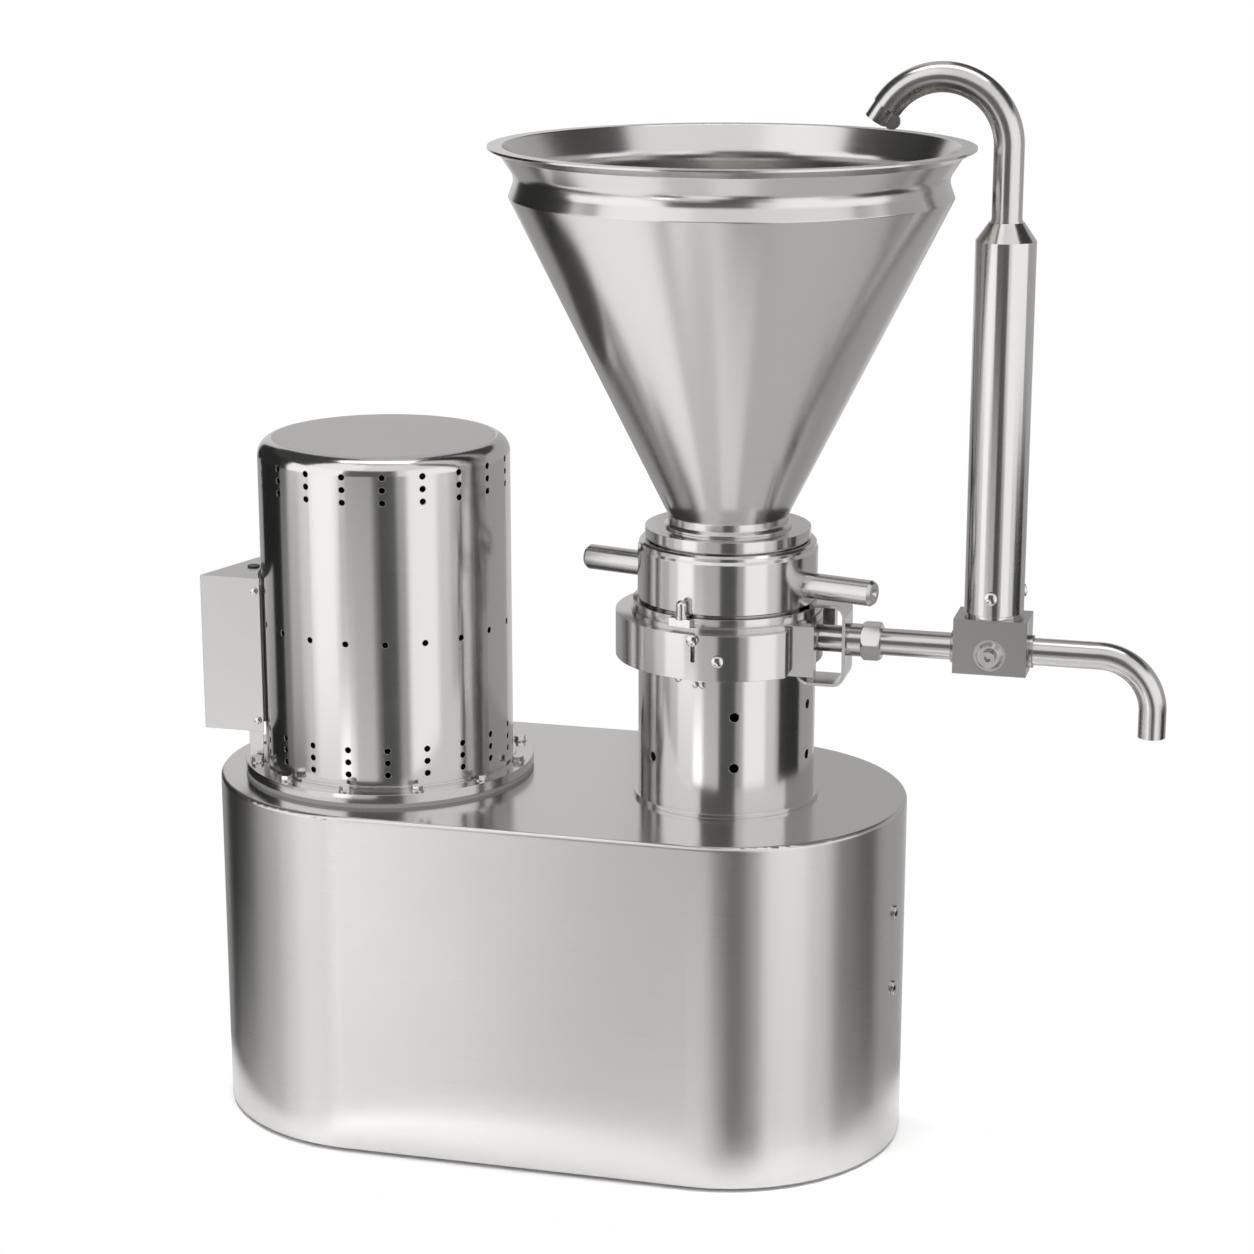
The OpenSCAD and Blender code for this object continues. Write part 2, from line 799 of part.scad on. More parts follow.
module motor_shaft() color("gainsboro") at_motor() {
    low = belt_z - pulley_w / 2 - shaft_end;
    seat_low = motor_flange_t - bearing_sink;
    seat_top = rear_z - rear_sink + motor_bearing_w;
    bar(motor_shaft_d - shaft_step, low, seat_low - low);
    bar(motor_shaft_d, seat_low, seat_top - seat_low);
    bar(core_d, frame_z + core_gap, motor_body_h - 2 * core_gap);
    bar(fan_bore_d, rear_z, rear_t + fan_gap + fan_h + shaft_end);
}

module motor_fan() color("dimgray") at_motor() translate([0, 0, rear_z + rear_t + fan_gap]) difference() {
    union() {
        cylinder(d = fan_bore_d + 2 * fan_hub_wall, h = fan_h);
        cylinder(r = fan_tip_r - fan_hub_wall, h = fan_disc_t);
        for (i = [0 : fan_blades - 1])
            rotate([0, 0, i * 360 / fan_blades]) translate([fan_bore_d / 2 + seat_fit, -fan_blade_t / 2, 0])
                cube([fan_tip_r - fan_bore_d / 2, fan_blade_t, fan_h]);
    }
    translate([0, 0, -cut]) cylinder(d = fan_bore_d + 2 * seat_fit, h = fan_h + 2 * cut);
}

// Trapezoid section of a belt with its top face on the pulley's rim, wider by the margin
module belt_section(rim_r, margin, extra) {
    side = margin / cos(belt_slope);
    bottom = belt_h + extra;
    half_top = belt_w / 2 + side;
    half_low = half_top - bottom * tan(belt_slope);
    polygon([
        [rim_r - bottom, -half_low],
        [rim_r, -half_top],
        [rim_r, half_top],
        [rim_r - bottom, half_low]
    ]);
}

// Repeats its children at the heights of both belts
module belt_rows() {
    for (row = [-0.5, 0.5]) translate([0, 0, belt_z + row * belt_pitch]) children();
}

module pulley(rim_d, bore_d) {
    difference() {
        bar(rim_d, belt_z - pulley_w / 2, pulley_w);
        bar(bore_d + 2 * seat_fit, belt_z - pulley_w / 2 - cut, pulley_w + 2 * cut);
        belt_rows() rotate_extrude() belt_section(rim_d / 2, move_gap, groove_floor);
    }
}

module motor_pulley() color("dimgray") at_motor() pulley(motor_pulley_d, motor_shaft_d - shaft_step);

module mill_pulley() color("dimgray") at_mill() pulley(mill_pulley_d, spindle_end_d);

// Straight run of a belt, thinner than the round ends by a hair and lapped into them, so that the loop is one solid
module belt_straight() {
    rotate([0, 0, belt_turn]) rotate([90, 0, 0]) translate([0, 0, -belt_lap]) linear_extrude(belt_run + 2 * belt_lap)
        belt_section(motor_pulley_d / 2 - belt_hair, -belt_hair, -2 * belt_hair);
}

module drive_belts() color("black") belt_rows() {
    at_motor() {
        rotate([0, 0, belt_turn]) rotate_extrude(angle = 360 - 2 * belt_turn) belt_section(motor_pulley_d / 2, 0, 0);
        belt_straight();
        mirror([0, 1, 0]) belt_straight();
    }
    at_mill() rotate([0, 0, -belt_turn]) rotate_extrude(angle = 2 * belt_turn) belt_section(mill_pulley_d / 2, 0, 0);
}

// Plan of the terminal box, smaller by the inset on every wall
module box_plan(inset) {
    back = box_back - inset;
    front = -box_front + inset;
    corner = -box_reach + inset / sin(box_slant);
    slant_x = function(y) corner + (y + box_front) / tan(box_slant);
    difference() {
        polygon([
            [slant_x(front), front],
            [0, front],
            [0, back],
            [slant_x(back), back]
        ]);
        circle(d = shroud_d + 2 * saddle_t + 2 * inset);
    }
}

module terminal_box() color("lightgray") at_motor() translate([0, 0, box_z]) difference() {
    linear_extrude(box_h) intersection() {
        box_plan(0);
        translate([-box_reach - cut, -box_front + box_wall]) square([box_reach, box_front + box_back]);
    }
    difference() {
        translate([0, 0, box_wall]) linear_extrude(box_h - 2 * box_wall) {
            box_plan(box_wall);
            translate([0, -box_wall]) box_plan(box_wall);
        }
        box_screw_places() bar(box_screw_d + 2 * boss_w, -box_wall - boss_len, boss_len + box_wall);
    }
    blank_place() bar(blank_shank_d + 2 * seat_fit, -box_wall - cut, box_wall + 2 * cut);
    box_screw_places() screw_hole(box_shank_d, box_wall + boss_len);
}

// Puts its children on top of the box at the blanking plug
module blank_place() {
    rotate([0, 0, blank_turn]) translate([blank_reach, 0, box_h]) children();
}

module terminal_box_cover() color("lightgray") at_motor() translate([0, 0, box_z]) difference() {
    linear_extrude(box_h) intersection() {
        box_plan(0);
        translate([-box_reach - cut, -box_front]) square([box_reach, box_wall]);
    }
    box_screw_places() screw_hole(box_shank_d, box_wall);
}

// Puts its children on the cover at both screws, pointing to the front
module box_screw_places() {
    screw_x = -sqrt(pow(shroud_d / 2 + saddle_t, 2) - pow(box_front, 2)) - box_wall - box_screw_d / 2;
    for (z = [box_screw_low, box_h - box_screw_high])
        translate([screw_x, -box_front, z]) rotate([90, 0, 0]) children();
}

module terminal_box_screws() color("gainsboro") at_motor() translate([0, 0, box_z])
    box_screw_places() button_screw(box_screw_d, box_head_h, box_shank_d, box_wall + boss_len);

module box_saddle() color("dimgray") at_motor() translate([0, 0, box_z + saddle_margin])
    linear_extrude(box_h - 2 * saddle_margin) intersection() {
        difference() {
            circle(d = shroud_d + 2 * saddle_t);
            circle(d = shroud_d);
        }
        translate([-box_reach, -box_front + saddle_margin])
            square([box_reach, box_front + box_back - 2 * saddle_margin]);
    }

module box_bracket() color("silver") at_motor() translate([0, 0, shroud_z]) linear_extrude(box_lift) difference() {
    translate([-bracket_reach, -box_front + box_wall]) square([bracket_reach, bracket_t]);
    circle(d = shroud_d + 2 * shroud_foot_w + 2 * move_gap);
}

module blanking_plug() color("dimgray") at_motor() translate([0, 0, box_z]) blank_place() {
    cylinder(d = blank_d, h = blank_head_h);
    bar(blank_shank_d, -box_wall - blank_shank_len, box_wall + blank_shank_len + blank_head_h / 2);
}

module mill_collar() color("silver") at_mill()
    ring(tube_d + 2 * foot_collar_w, tube_d + 2 * seat_fit, 0, foot_collar_h);

module tube_screw_places() {
    for (place = tube_screw_list) radial(place[0], tube_d / 2, tube_h - place[1]) children();
}

module mill_tube() color("silver") at_mill() difference() {
    ring(tube_d, tube_d - 2 * tube_wall, 0, tube_h);
    for (turn = tube_low_turns) radial(turn, tube_d / 2, tube_row_low) screw_hole(tube_hole_d, tube_wall);
    for (turn = tube_high_turns) radial(turn, tube_d / 2, tube_row_high) screw_hole(tube_hole_d, tube_wall);
    tube_screw_places() screw_hole(tube_shank_d, tube_wall);
}

module tube_screws() color("gainsboro") at_mill() tube_screw_places()
    button_screw(tube_screw_d, tube_head_h, tube_shank_d, tube_wall);

module bearing_housing() color("slategray") at_mill() difference() {
    union() {
        bar(bearing_d + 2 * bearing_wall, bearing_housing_z, housing_z - bearing_housing_z);
        bar(spigot_bore_d - 2 * seat_fit, housing_z - bearing_flange_t, bearing_flange_t);
    }
    bar(bearing_d - 2 * bearing_lip, bearing_housing_z - cut, housing_z - bearing_housing_z + 2 * cut);
    bar(bearing_d + 2 * seat_fit, bearing_top_z - bearing_w, bearing_w + bearing_drop + cut);
    bar(bearing_d + 2 * seat_fit, bearing_housing_z - cut, bearing_low_z + bearing_w - bearing_housing_z + cut);
}

module spindle_bearings() color("gainsboro") at_mill() {
    translate([0, 0, bearing_top_z - bearing_w]) bearing(bearing_d, spindle_d, bearing_w);
    translate([0, 0, bearing_low_z]) bearing(bearing_d, spindle_d, bearing_w);
}

module discharge_housing() color("silver") at_mill() difference() {
    union() {
        bar(housing_d, housing_z, housing_h);
        ring(spigot_d, spigot_bore_d, housing_z - spigot_h, spigot_h + cut);
    }
    bar(chamber_d, chamber_z, housing_h);
    bar(spindle_d + 2 * spindle_gap, housing_z - cut, floor_t + 2 * cut);
    bar(seal_d + 2 * seat_fit, chamber_z - seal_h, seal_h + cut);
    radial(0, 0, outlet_z) cylinder(d = pipe_bore_d, h = housing_d);
    radial(0, nipple_x, outlet_z) cylinder(d = pipe_d + 2 * seat_fit, h = housing_d);
}

module shaft_seal() color("black") at_mill() difference() {
    ring(seal_d, spindle_d + 2 * run_fit, chamber_z - seal_h, seal_h);
    ring(seal_d - seal_lip, spindle_d + seal_lip, chamber_z - seal_lip, seal_lip + cut);
}

module collar_flange() color("silver") at_mill() difference() {
    union() {
        ring(housing_d, carrier_bore_d, collar_z, collar_low_h);
        ring(collar_d - 2 * collar_line, carrier_bore_d, collar_z, collar_low_h + collar_line);
        ring(collar_d, carrier_bore_d, collar_z + collar_low_h + collar_line, collar_h - collar_low_h - collar_line);
        ring(ring_d - 2 * ring_seat_w, carrier_bore_d, collar_z, collar_h + ring_gap - move_gap);
    }
    radial(180, 0, key_z) cylinder(d = key_d + 2 * seat_fit, h = collar_d);
    stop_block(seat_fit);
}

module guide_key() color("gainsboro") at_mill()
    radial(180, carrier_d / 2 - key_depth, key_z) cylinder(d = key_d, h = (collar_d - carrier_d) / 2 + key_depth);

// Block that carries the stop pin on the front of the collar
module stop_block(gap) {
    w = stop_block_size[1] + 2 * gap;
    h = stop_block_size[2] + gap;
    rotate([0, 0, stop_turn]) translate([ring_d / 2 - stop_inset - gap, -w / 2, ring_seat_z - h])
        cube([stop_block_size[0], w, h + cut * sign(gap)]);
}

module stop_pin() color("gainsboro") at_mill() {
    stop_block(0);
    rotate([0, 0, stop_turn]) translate([stop_reach, 0, ring_seat_z]) {
        translate([0, 0, -cut]) cylinder(d = stop_d + 2 * stop_washer_w, h = cut + stop_washer_h);
        cylinder(d = stop_d, h = stop_h - stop_d / 2);
        translate([0, 0, stop_h - stop_d / 2]) sphere(d = stop_d);
    }
}

// Ear at one end of the clamp ring, towards the front or the back
module clamp_ear(side) {
    outer_y = sqrt(pow(clamp_bore_d / 2, 2) - pow(clamp_end_x, 2)) + ear_lap;
    y0 = side > 0 ? outer_y - ear_t : -outer_y;
    translate([clamp_end_x - ear_root, y0, housing_z + clamp_h / 2 - ear_h / 2])
        cube([ear_reach - clamp_end_x + ear_root, ear_t, ear_h]);
}

module clamp_ring() color("silver") at_mill() difference() {
    union() {
        difference() {
            bar(clamp_d, housing_z, clamp_h);
            translate([clamp_end_x, -clamp_d, housing_z - cut]) cube([clamp_d, 2 * clamp_d, clamp_h + 2 * cut]);
        }
        for (side = [-1, 1]) clamp_ear(side);
    }
    bar(clamp_bore_d, housing_z - ear_h, clamp_h + 2 * ear_h);
    clamp_screw_places() screw_hole(clamp_shank_d, (clamp_d - clamp_bore_d) / 2);
    rotate([0, 0, clamp_slot_turn]) translate([0, -clamp_slot_w / 2, housing_z + clamp_slot_z])
        cube([clamp_d, clamp_slot_w, clamp_h - clamp_screw_drop - clamp_slot_z]);
}

module clamp_screw_places() {
    radial(clamp_slot_turn, clamp_d / 2, housing_z + clamp_h - clamp_screw_drop) children();
    radial(clamp_low_turn, clamp_d / 2, housing_z + clamp_low_z) children();
}

module clamp_screws() color("gainsboro") at_mill() clamp_screw_places()
    button_screw(clamp_screw_d, clamp_head_h, clamp_shank_d, clamp_shank_len);

// Cone of the rotor at height h above its foot
function cone_r(h) = rotor_d / 2 - h * tan(cone_angle);

// Leaning gaps between teeth, centred on a cone that is wider than the rotor's by shift
module tooth_gaps(count, h0, h1, w, depth, shift) {
    mid = (h0 + h1) / 2;
    len = (h1 - h0) / cos(cone_angle) / cos(tooth_lean);
    for (i = [0 : count - 1])
        rotate([0, 0, i * 360 / count]) translate([cone_r(mid) + shift, 0, mid])
            rotate([0, -cone_angle, 0]) rotate([tooth_lean, 0, 0]) cube([2 * depth, w, len], center = true);
}

module grinding_rotor() color("gainsboro") at_mill() translate([0, 0, rotor_z]) difference() {
    cylinder(r1 = cone_r(0), r2 = cone_r(rotor_h), h = rotor_h);
    translate([0, 0, -cut]) cylinder(d = spindle_end_d + 2 * seat_fit, h = rotor_h + 2 * cut);
    tooth_gaps(fine_teeth, fine_from, fine_to, fine_gap_w, fine_depth, 0);
    tooth_gaps(coarse_teeth, coarse_from, rotor_h + tooth_run_out, coarse_gap_w, tooth_depth, 0);
}

module stator() color("gainsboro") at_mill() translate([0, 0, rotor_z]) {
    low = stator_low;
    high = rotor_h + stator_past;
    difference() {
        bar(stator_d, low, high - low);
        translate([0, 0, low - cut]) cylinder(
            r1 = cone_r(low - cut) + stator_shift,
            r2 = cone_r(high + cut) + stator_shift,
            h = high - low + 2 * cut
        );
        translate([0, 0, rotor_h - funnel_drop])
            cylinder(r1 = cone_r(rotor_h), r2 = feed_bore_d / 2 + cut, h = stator_past + funnel_drop + cut);
        tooth_gaps(fine_teeth, low - tooth_run_out, fine_to, fine_gap_w, fine_depth, stator_shift);
        tooth_gaps(coarse_teeth, coarse_from, rotor_h, coarse_gap_w, tooth_depth, stator_shift);
    }
}

module rotor_nut() color("gainsboro") at_mill() translate([0, 0, rotor_top_z]) difference() {
    union() {
        cylinder(d = spindle_end_d + 4 * nut_step, h = nut_flange_h);
        cylinder(d = spindle_end_d + 2 * nut_step, h = nut_h, $fn = 6);
    }
    translate([0, 0, -cut]) cylinder(d = thread_d + 2 * seat_fit, h = nut_h - nut_flange_h + cut);
}

module mill_spindle() color("gainsboro") at_mill() {
    low = belt_z - pulley_w / 2 - shaft_end;
    shoulder_z = bearing_low_z + bearing_w + move_gap;
    shoulder_top = bearing_top_z - bearing_w - move_gap;
    bar(spindle_end_d, low, bearing_low_z - low);
    bar(spindle_d, bearing_low_z - shaft_end, rotor_z - bearing_low_z + shaft_end);
    bar(spindle_d + 2 * shoulder_w, shoulder_z, shoulder_top - shoulder_z);
    bar(spindle_end_d, rotor_z, rotor_h);
    bar(thread_d, rotor_top_z, nut_h - thread_end);
}

module stator_carrier() color("silver") at_mill() difference() {
    bar(carrier_d, carrier_z, cap_z - carrier_z);
    bar(stator_d + 2 * seat_fit, carrier_z - cut, stator_top_z - carrier_z + cut);
    bar(feed_bore_d, carrier_z - cut, cap_z);
    slot = key_d + 2 * move_gap;
    slot_h = key_d + 2 * key_travel;
    rotate([0, 0, 180]) translate([carrier_d / 2 - key_depth - move_gap, -slot / 2, key_z - slot_h / 2])
        cube([key_depth + move_gap + cut, slot, slot_h]);
}

module feed_cap() color("silver") at_mill() difference() {
    union() {
        bar(cap_d, cap_z + cap_step, cap_t - cap_step);
        bar(cap_d - 2 * cap_step, cap_z, cap_t);
    }
    bar(feed_bore_d, cap_z - cut, cap_t + 2 * cut);
}

// Outline of the hopper from its foot to its rim, inside or outside by the offset
function hopper_side(inset) = [
    [neck_d / 2 - inset, neck_h],
    [ridge_d / 2 - inset, neck_h + cone_h],
    [ridge_d / 2 - groove_depth - inset, neck_h + cone_h + groove_h],
    [ridge_d / 2 + lip_flare - inset, neck_h + cone_h + groove_h + lip_h - rim_drop]
];

module hopper() color("silver") at_mill() translate([0, 0, hopper_z]) rotate_extrude() polygon(concat(
    [[neck_d / 2 - hopper_wall, 0], [neck_d / 2 + bead_w, 0], [neck_d / 2 + bead_w, bead_h]],
    [[neck_d / 2, bead_h + bead_w]],
    hopper_side(0),
    [[rim_r, hopper_h - hopper_wall], [rim_r, hopper_h], [ridge_d / 2 + lip_flare - hopper_wall, hopper_h]],
    [for (i = [3 : -1 : 0]) hopper_side(hopper_wall)[i]]
));

module adjusting_ring() color("silver") at_mill() difference() {
    translate([0, 0, ring_z]) rotate_extrude() polygon([
        [carrier_bore_d / 2, 0],
        [ring_d / 2 - ring_bevel, 0],
        [ring_d / 2, ring_bevel],
        [ring_d / 2, ring_h - ring_line_z],
        [ring_d / 2 - ring_step, ring_h - ring_line_z + 2 * ring_step],
        [ring_d / 2 - ring_step, ring_h - 2 * ring_bevel],
        [ring_d / 2 - ring_step - 2 * ring_bevel, ring_h],
        [carrier_bore_d / 2, ring_h]
    ]);
    for (side = [0, 180])
        radial(handle_turn + side, 0, handle_z) cylinder(d = handle_d + 2 * seat_fit, h = ring_d);
}

// Bar handle from inside the ring's wall to its chamfered and dimpled end
module handle(turn) {
    start = carrier_bore_d / 2 + handle_gap;
    len = handle_reach - start;
    radial(turn, start, handle_z) rotate_extrude() polygon([
        [0, 0],
        [handle_d / 2, 0],
        [handle_d / 2, len - handle_bevel[1]],
        [handle_d / 2 - handle_bevel[0], len],
        [dimple_r, len],
        [0, len - handle_bevel[1]]
    ]);
}

module handle_right() color("silver") at_mill() handle(handle_turn);

module handle_left() color("silver") at_mill() handle(handle_turn + 180);

// Pipe along +X on the outlet axis, between two distances from the mill axis
module outlet_pipe(outer_d, inner_d, x0, x1) {
    radial(0, x0, outlet_z) difference() {
        cylinder(d = outer_d, h = x1 - x0);
        translate([0, 0, -cut]) cylinder(d = inner_d, h = x1 - x0 + 2 * cut);
    }
}

module outlet_nipple() color("silver") at_mill() {
    outlet_pipe(pipe_d, pipe_bore_d, nipple_x, nut_x + nut_len / 2);
    outlet_pipe(pipe_d + 2 * ferrule_w, pipe_bore_d, strap_reach + seat_fit, nut_x);
}

module outlet_stirrup() color("silver") at_mill() {
    top = ring_seat_z + strap_t;
    low = housing_z - strap_drop;
    difference() {
        translate([0, strap_w / 2, 0]) rotate([90, 0, 0]) linear_extrude(strap_w) difference() {
            strap_outline(0, low, strap_reach, top, strap_corner);
            strap_outline(-cut, low + strap_t, strap_reach - strap_t, top - strap_t, strap_corner - strap_t);
        }
        bar(ring_d + 2 * move_gap, ring_seat_z - cut, strap_t + 2 * cut);
        bar(tube_d + 2 * seat_fit, low - cut, strap_t + 2 * cut);
        radial(0, 0, outlet_z) cylinder(d = pipe_d + 2 * seat_fit, h = strap_reach + cut);
    }
}

// Side view of the stirrup, square towards the mill and round at its outer corners
module strap_outline(x0, z0, x1, z1, r) {
    translate([x0, z0]) square([x1 - r - x0, z1 - z0]);
    translate([x0, z0 + r]) square([x1 - x0, z1 - z0 - 2 * r]);
    for (z = [z0 + r, z1 - r]) translate([x1 - r, z]) circle(r = r);
}

module union_nut() color("silver") at_mill() radial(0, nut_x, outlet_z) difference() {
    intersection() {
        rotate([0, 0, 30]) cylinder(d = nut_af / cos(30), h = nut_len, $fn = 6);
        rotate_extrude() polygon([
            [0, 0],
            [nut_af / 2, 0],
            [nut_af / 2 + nut_bevel, nut_bevel],
            [nut_af / 2 + nut_bevel, nut_len - nut_bevel],
            [nut_af / 2, nut_len],
            [0, nut_len]
        ]);
    }
    translate([0, 0, -cut]) cylinder(d = pipe_d + 2 * seat_fit, h = nut_len + 2 * cut);
}

module outlet_tube() color("silver") at_mill()
    outlet_pipe(pipe_d, pipe_bore_d, nut_x + nut_len / 2, block_x + block_socket);

module valve_block() color("lightgray") at_mill() difference() {
    union() {
        translate([block_x, -block_front, block_z]) cube([block_len, block_w, block_h]);
        radial(0, block_x - pipe_collar_h, outlet_z)
            cylinder(d = pipe_d + 2 * pipe_collar_w, h = block_len + 2 * pipe_collar_h);
    }
    outlet_pipe_bores();
    translate([block_cx, 0, outlet_z]) cylinder(d = pipe_bore_d, h = block_h);
    translate([block_cx, -block_front - cut, outlet_z]) rotate([-90, 0, 0])
        cylinder(d = plug_d + 2 * run_fit, h = plug_len + run_fit + cut);
}

// Flow bore through the block and the sockets for tube and spout
module outlet_pipe_bores() {
    past = pipe_collar_h + cut;
    radial(0, block_x - past, outlet_z) cylinder(d = pipe_bore_d, h = block_len + 2 * past);
    radial(0, block_x - past, outlet_z) cylinder(d = pipe_d + 2 * seat_fit, h = block_socket + past);
    radial(0, block_x + block_len - block_socket, outlet_z)
        cylinder(d = pipe_d + 2 * seat_fit, h = block_socket + past);
}

module valve_plug() color("gainsboro") at_mill() difference() {
    translate([block_cx, -block_front, outlet_z]) rotate([-90, 0, 0]) cylinder(d = plug_d, h = plug_len);
    radial(0, block_cx - plug_d, outlet_z) cylinder(d = plug_bore_d, h = 2 * plug_d);
    translate([block_cx, 0, outlet_z]) cylinder(d = plug_bore_d, h = plug_d);
}

module plug_cap() color("gainsboro") at_mill() translate([block_cx, -block_front, outlet_z]) rotate([90, 0, 0])
    difference() {
        union() {
            cylinder(d1 = plug_skirt[0], d2 = plug_skirt[1], h = plug_skirt[2]);
            cylinder(d = plug_head_d, h = plug_head_h);
        }
        translate([0, 0, plug_head_h - plug_key_depth]) cylinder(d = plug_key_d, h = plug_key_depth + cut, $fn = 6);
    }

// Round bar of the spout: out of the block, round the bend and down
module spout_bar(d, past) {
    radial(0, block_x + block_len - block_socket - past, outlet_z)
        cylinder(d = d, h = block_socket + spout_len + past);
    translate([block_x + block_len + spout_len, 0, outlet_z - spout_bend_r]) {
        rotate([90, 0, 0]) rotate_extrude(angle = 90) translate([spout_bend_r, 0]) circle(d = d);
        translate([spout_bend_r, 0, -spout_drop - past]) cylinder(d = d, h = spout_drop + past);
    }
}

module spout() color("silver") at_mill() difference() {
    spout_bar(pipe_d, 0);
    spout_bar(pipe_bore_d, cut);
}

// Places its children on the column's axis
module at_column() {
    at_mill() translate([block_cx, 0, 0]) children();
}

module column_socket() color("silver") at_column() difference() {
    bar(socket_d, block_top_z, socket_h + column_gap);
    bar(pipe_bore_d, block_top_z - cut, socket_h + column_gap + 2 * cut);
    ring(
        socket_d + cut,
        socket_d - 2 * socket_groove,
        column_screw_z - column_shank_d / 2 - move_gap,
        column_shank_d + 2 * move_gap
    );
}

module return_column() color("silver") at_column() difference() {
    union() {
        bar(column_d, column_z, column_h);
        translate([0, 0, column_top_z]) cylinder(d1 = column_d, d2 = neck_pipe_d + 2 * cone_lip, h = column_cone_h);
    }
    bar(column_d - 2 * column_wall, column_z - cut, column_h - column_roof_t + cut);
    bar(neck_pipe_d - 2 * neck_wall, column_z, column_h + column_cone_h);
    bar(neck_pipe_d + 2 * seat_fit, gooseneck_z, column_cone_h);
    column_screw_places() screw_hole(column_shank_d, column_wall);
}

module column_screw_places() {
    for (turn = column_turns) radial(turn, column_d / 2, column_screw_z) children();
}

module column_screws() color("gainsboro") at_column() column_screw_places()
    button_screw(column_screw_d, column_head_h, column_shank_d, column_wall + socket_groove - 2 * move_gap);

// Round bar of the gooseneck: up from the cone, over the bend and down to the nozzle
module gooseneck_bar(d, past) {
    bar(d, gooseneck_z - past, bend_z - gooseneck_z + past);
    translate([-gooseneck_r, 0, bend_z]) {
        rotate([90, 0, 0]) rotate_extrude(angle = gooseneck_turn) translate([gooseneck_r, 0]) circle(d = d);
        if (past > 0) rotate([0, -gooseneck_turn, 0]) translate([gooseneck_r, 0, 0]) cylinder(d = d, h = past);
    }
}

// Places its children at the end of the gooseneck, their Z axis along the flow
module at_nozzle() {
    at_column() translate([-gooseneck_r, 0, bend_z]) rotate([0, -gooseneck_turn, 0])
        translate([gooseneck_r, 0, 0]) children();
}

module gooseneck() color("silver") difference() {
    at_column() gooseneck_bar(neck_pipe_d, 0);
    at_column() gooseneck_bar(nozzle_d - 2 * nozzle_wall, cut);
    at_nozzle() translate([0, 0, -nozzle_socket]) cylinder(d = nozzle_d + 2 * seat_fit, h = nozzle_socket + cut);
}

module nozzle_sleeve() color("silver") at_nozzle() difference() {
    bar(nozzle_d, -nozzle_socket + nozzle_end_gap, nozzle_socket - nozzle_end_gap + nozzle_len);
    bar(nozzle_d - 2 * nozzle_wall, -nozzle_socket, nozzle_socket + nozzle_len + cut);
}

base_shell();
bottom_plate();
rubber_feet();
base_side_screws();
shroud_gasket();
shroud_flange();
flange_bolts();
motor_shroud();
motor_end_shield();
motor_frame();
motor_rear_shield();
motor_bearings();
fan_cowl();
motor_shaft();
motor_fan();
motor_pulley();
drive_belts();
terminal_box();
terminal_box_cover();
terminal_box_screws();
box_saddle();
box_bracket();
blanking_plug();
mill_collar();
mill_tube();
tube_screws();
bearing_housing();
spindle_bearings();
discharge_housing();
shaft_seal();
collar_flange();
guide_key();
stop_pin();
clamp_ring();
clamp_screws();
mill_spindle();
mill_pulley();
grinding_rotor();
rotor_nut();
stator();
stator_carrier();
feed_cap();
hopper();
adjusting_ring();
handle_left();
handle_right();
outlet_nipple();
outlet_stirrup();
union_nut();
outlet_tube();
valve_block();
valve_plug();
plug_cap();
spout();
column_socket();
return_column();
column_screws();
gooseneck();
nozzle_sleeve();
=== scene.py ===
import json
import math

import bpy
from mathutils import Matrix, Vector


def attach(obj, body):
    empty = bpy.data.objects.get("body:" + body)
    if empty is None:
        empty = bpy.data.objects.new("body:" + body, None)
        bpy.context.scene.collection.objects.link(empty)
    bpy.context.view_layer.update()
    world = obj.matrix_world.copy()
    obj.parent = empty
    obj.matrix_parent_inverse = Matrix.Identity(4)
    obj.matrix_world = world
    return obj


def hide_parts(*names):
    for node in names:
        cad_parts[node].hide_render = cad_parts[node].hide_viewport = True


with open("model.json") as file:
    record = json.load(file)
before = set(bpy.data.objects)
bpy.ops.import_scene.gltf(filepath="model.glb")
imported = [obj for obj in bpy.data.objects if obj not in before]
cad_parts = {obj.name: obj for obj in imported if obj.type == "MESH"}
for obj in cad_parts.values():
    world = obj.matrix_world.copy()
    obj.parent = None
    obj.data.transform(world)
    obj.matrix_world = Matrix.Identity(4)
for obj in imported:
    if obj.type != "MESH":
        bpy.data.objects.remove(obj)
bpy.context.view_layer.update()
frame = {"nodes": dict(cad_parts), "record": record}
nodes = frame["nodes"]
scene = bpy.context.scene

# Camera, fitted to the photograph, and the point that it looks at
CAMERA_AZIMUTH = 14.47
CAMERA_ELEVATION = 14.86
CAMERA_DISTANCE = 2.8164
CAMERA_TARGET = Vector((0.0678, 0.0, 0.4957))
CAMERA_LENS = 84.44
SENSOR = 36.0

# Upright axes of the motor and the mill
MOTOR_X = -0.174
MILL_X = 0.166

# Studio: a white tent of brightness 1, with curved cards in it that the steel mirrors
CARD_DISTANCE = 3.6
CARD_STEP = 2.0

# Heights of the cards' edges
LOW = -6.0
BASE = -0.64
EYE = 0.05
MID = 2.4
TOP = 9.0

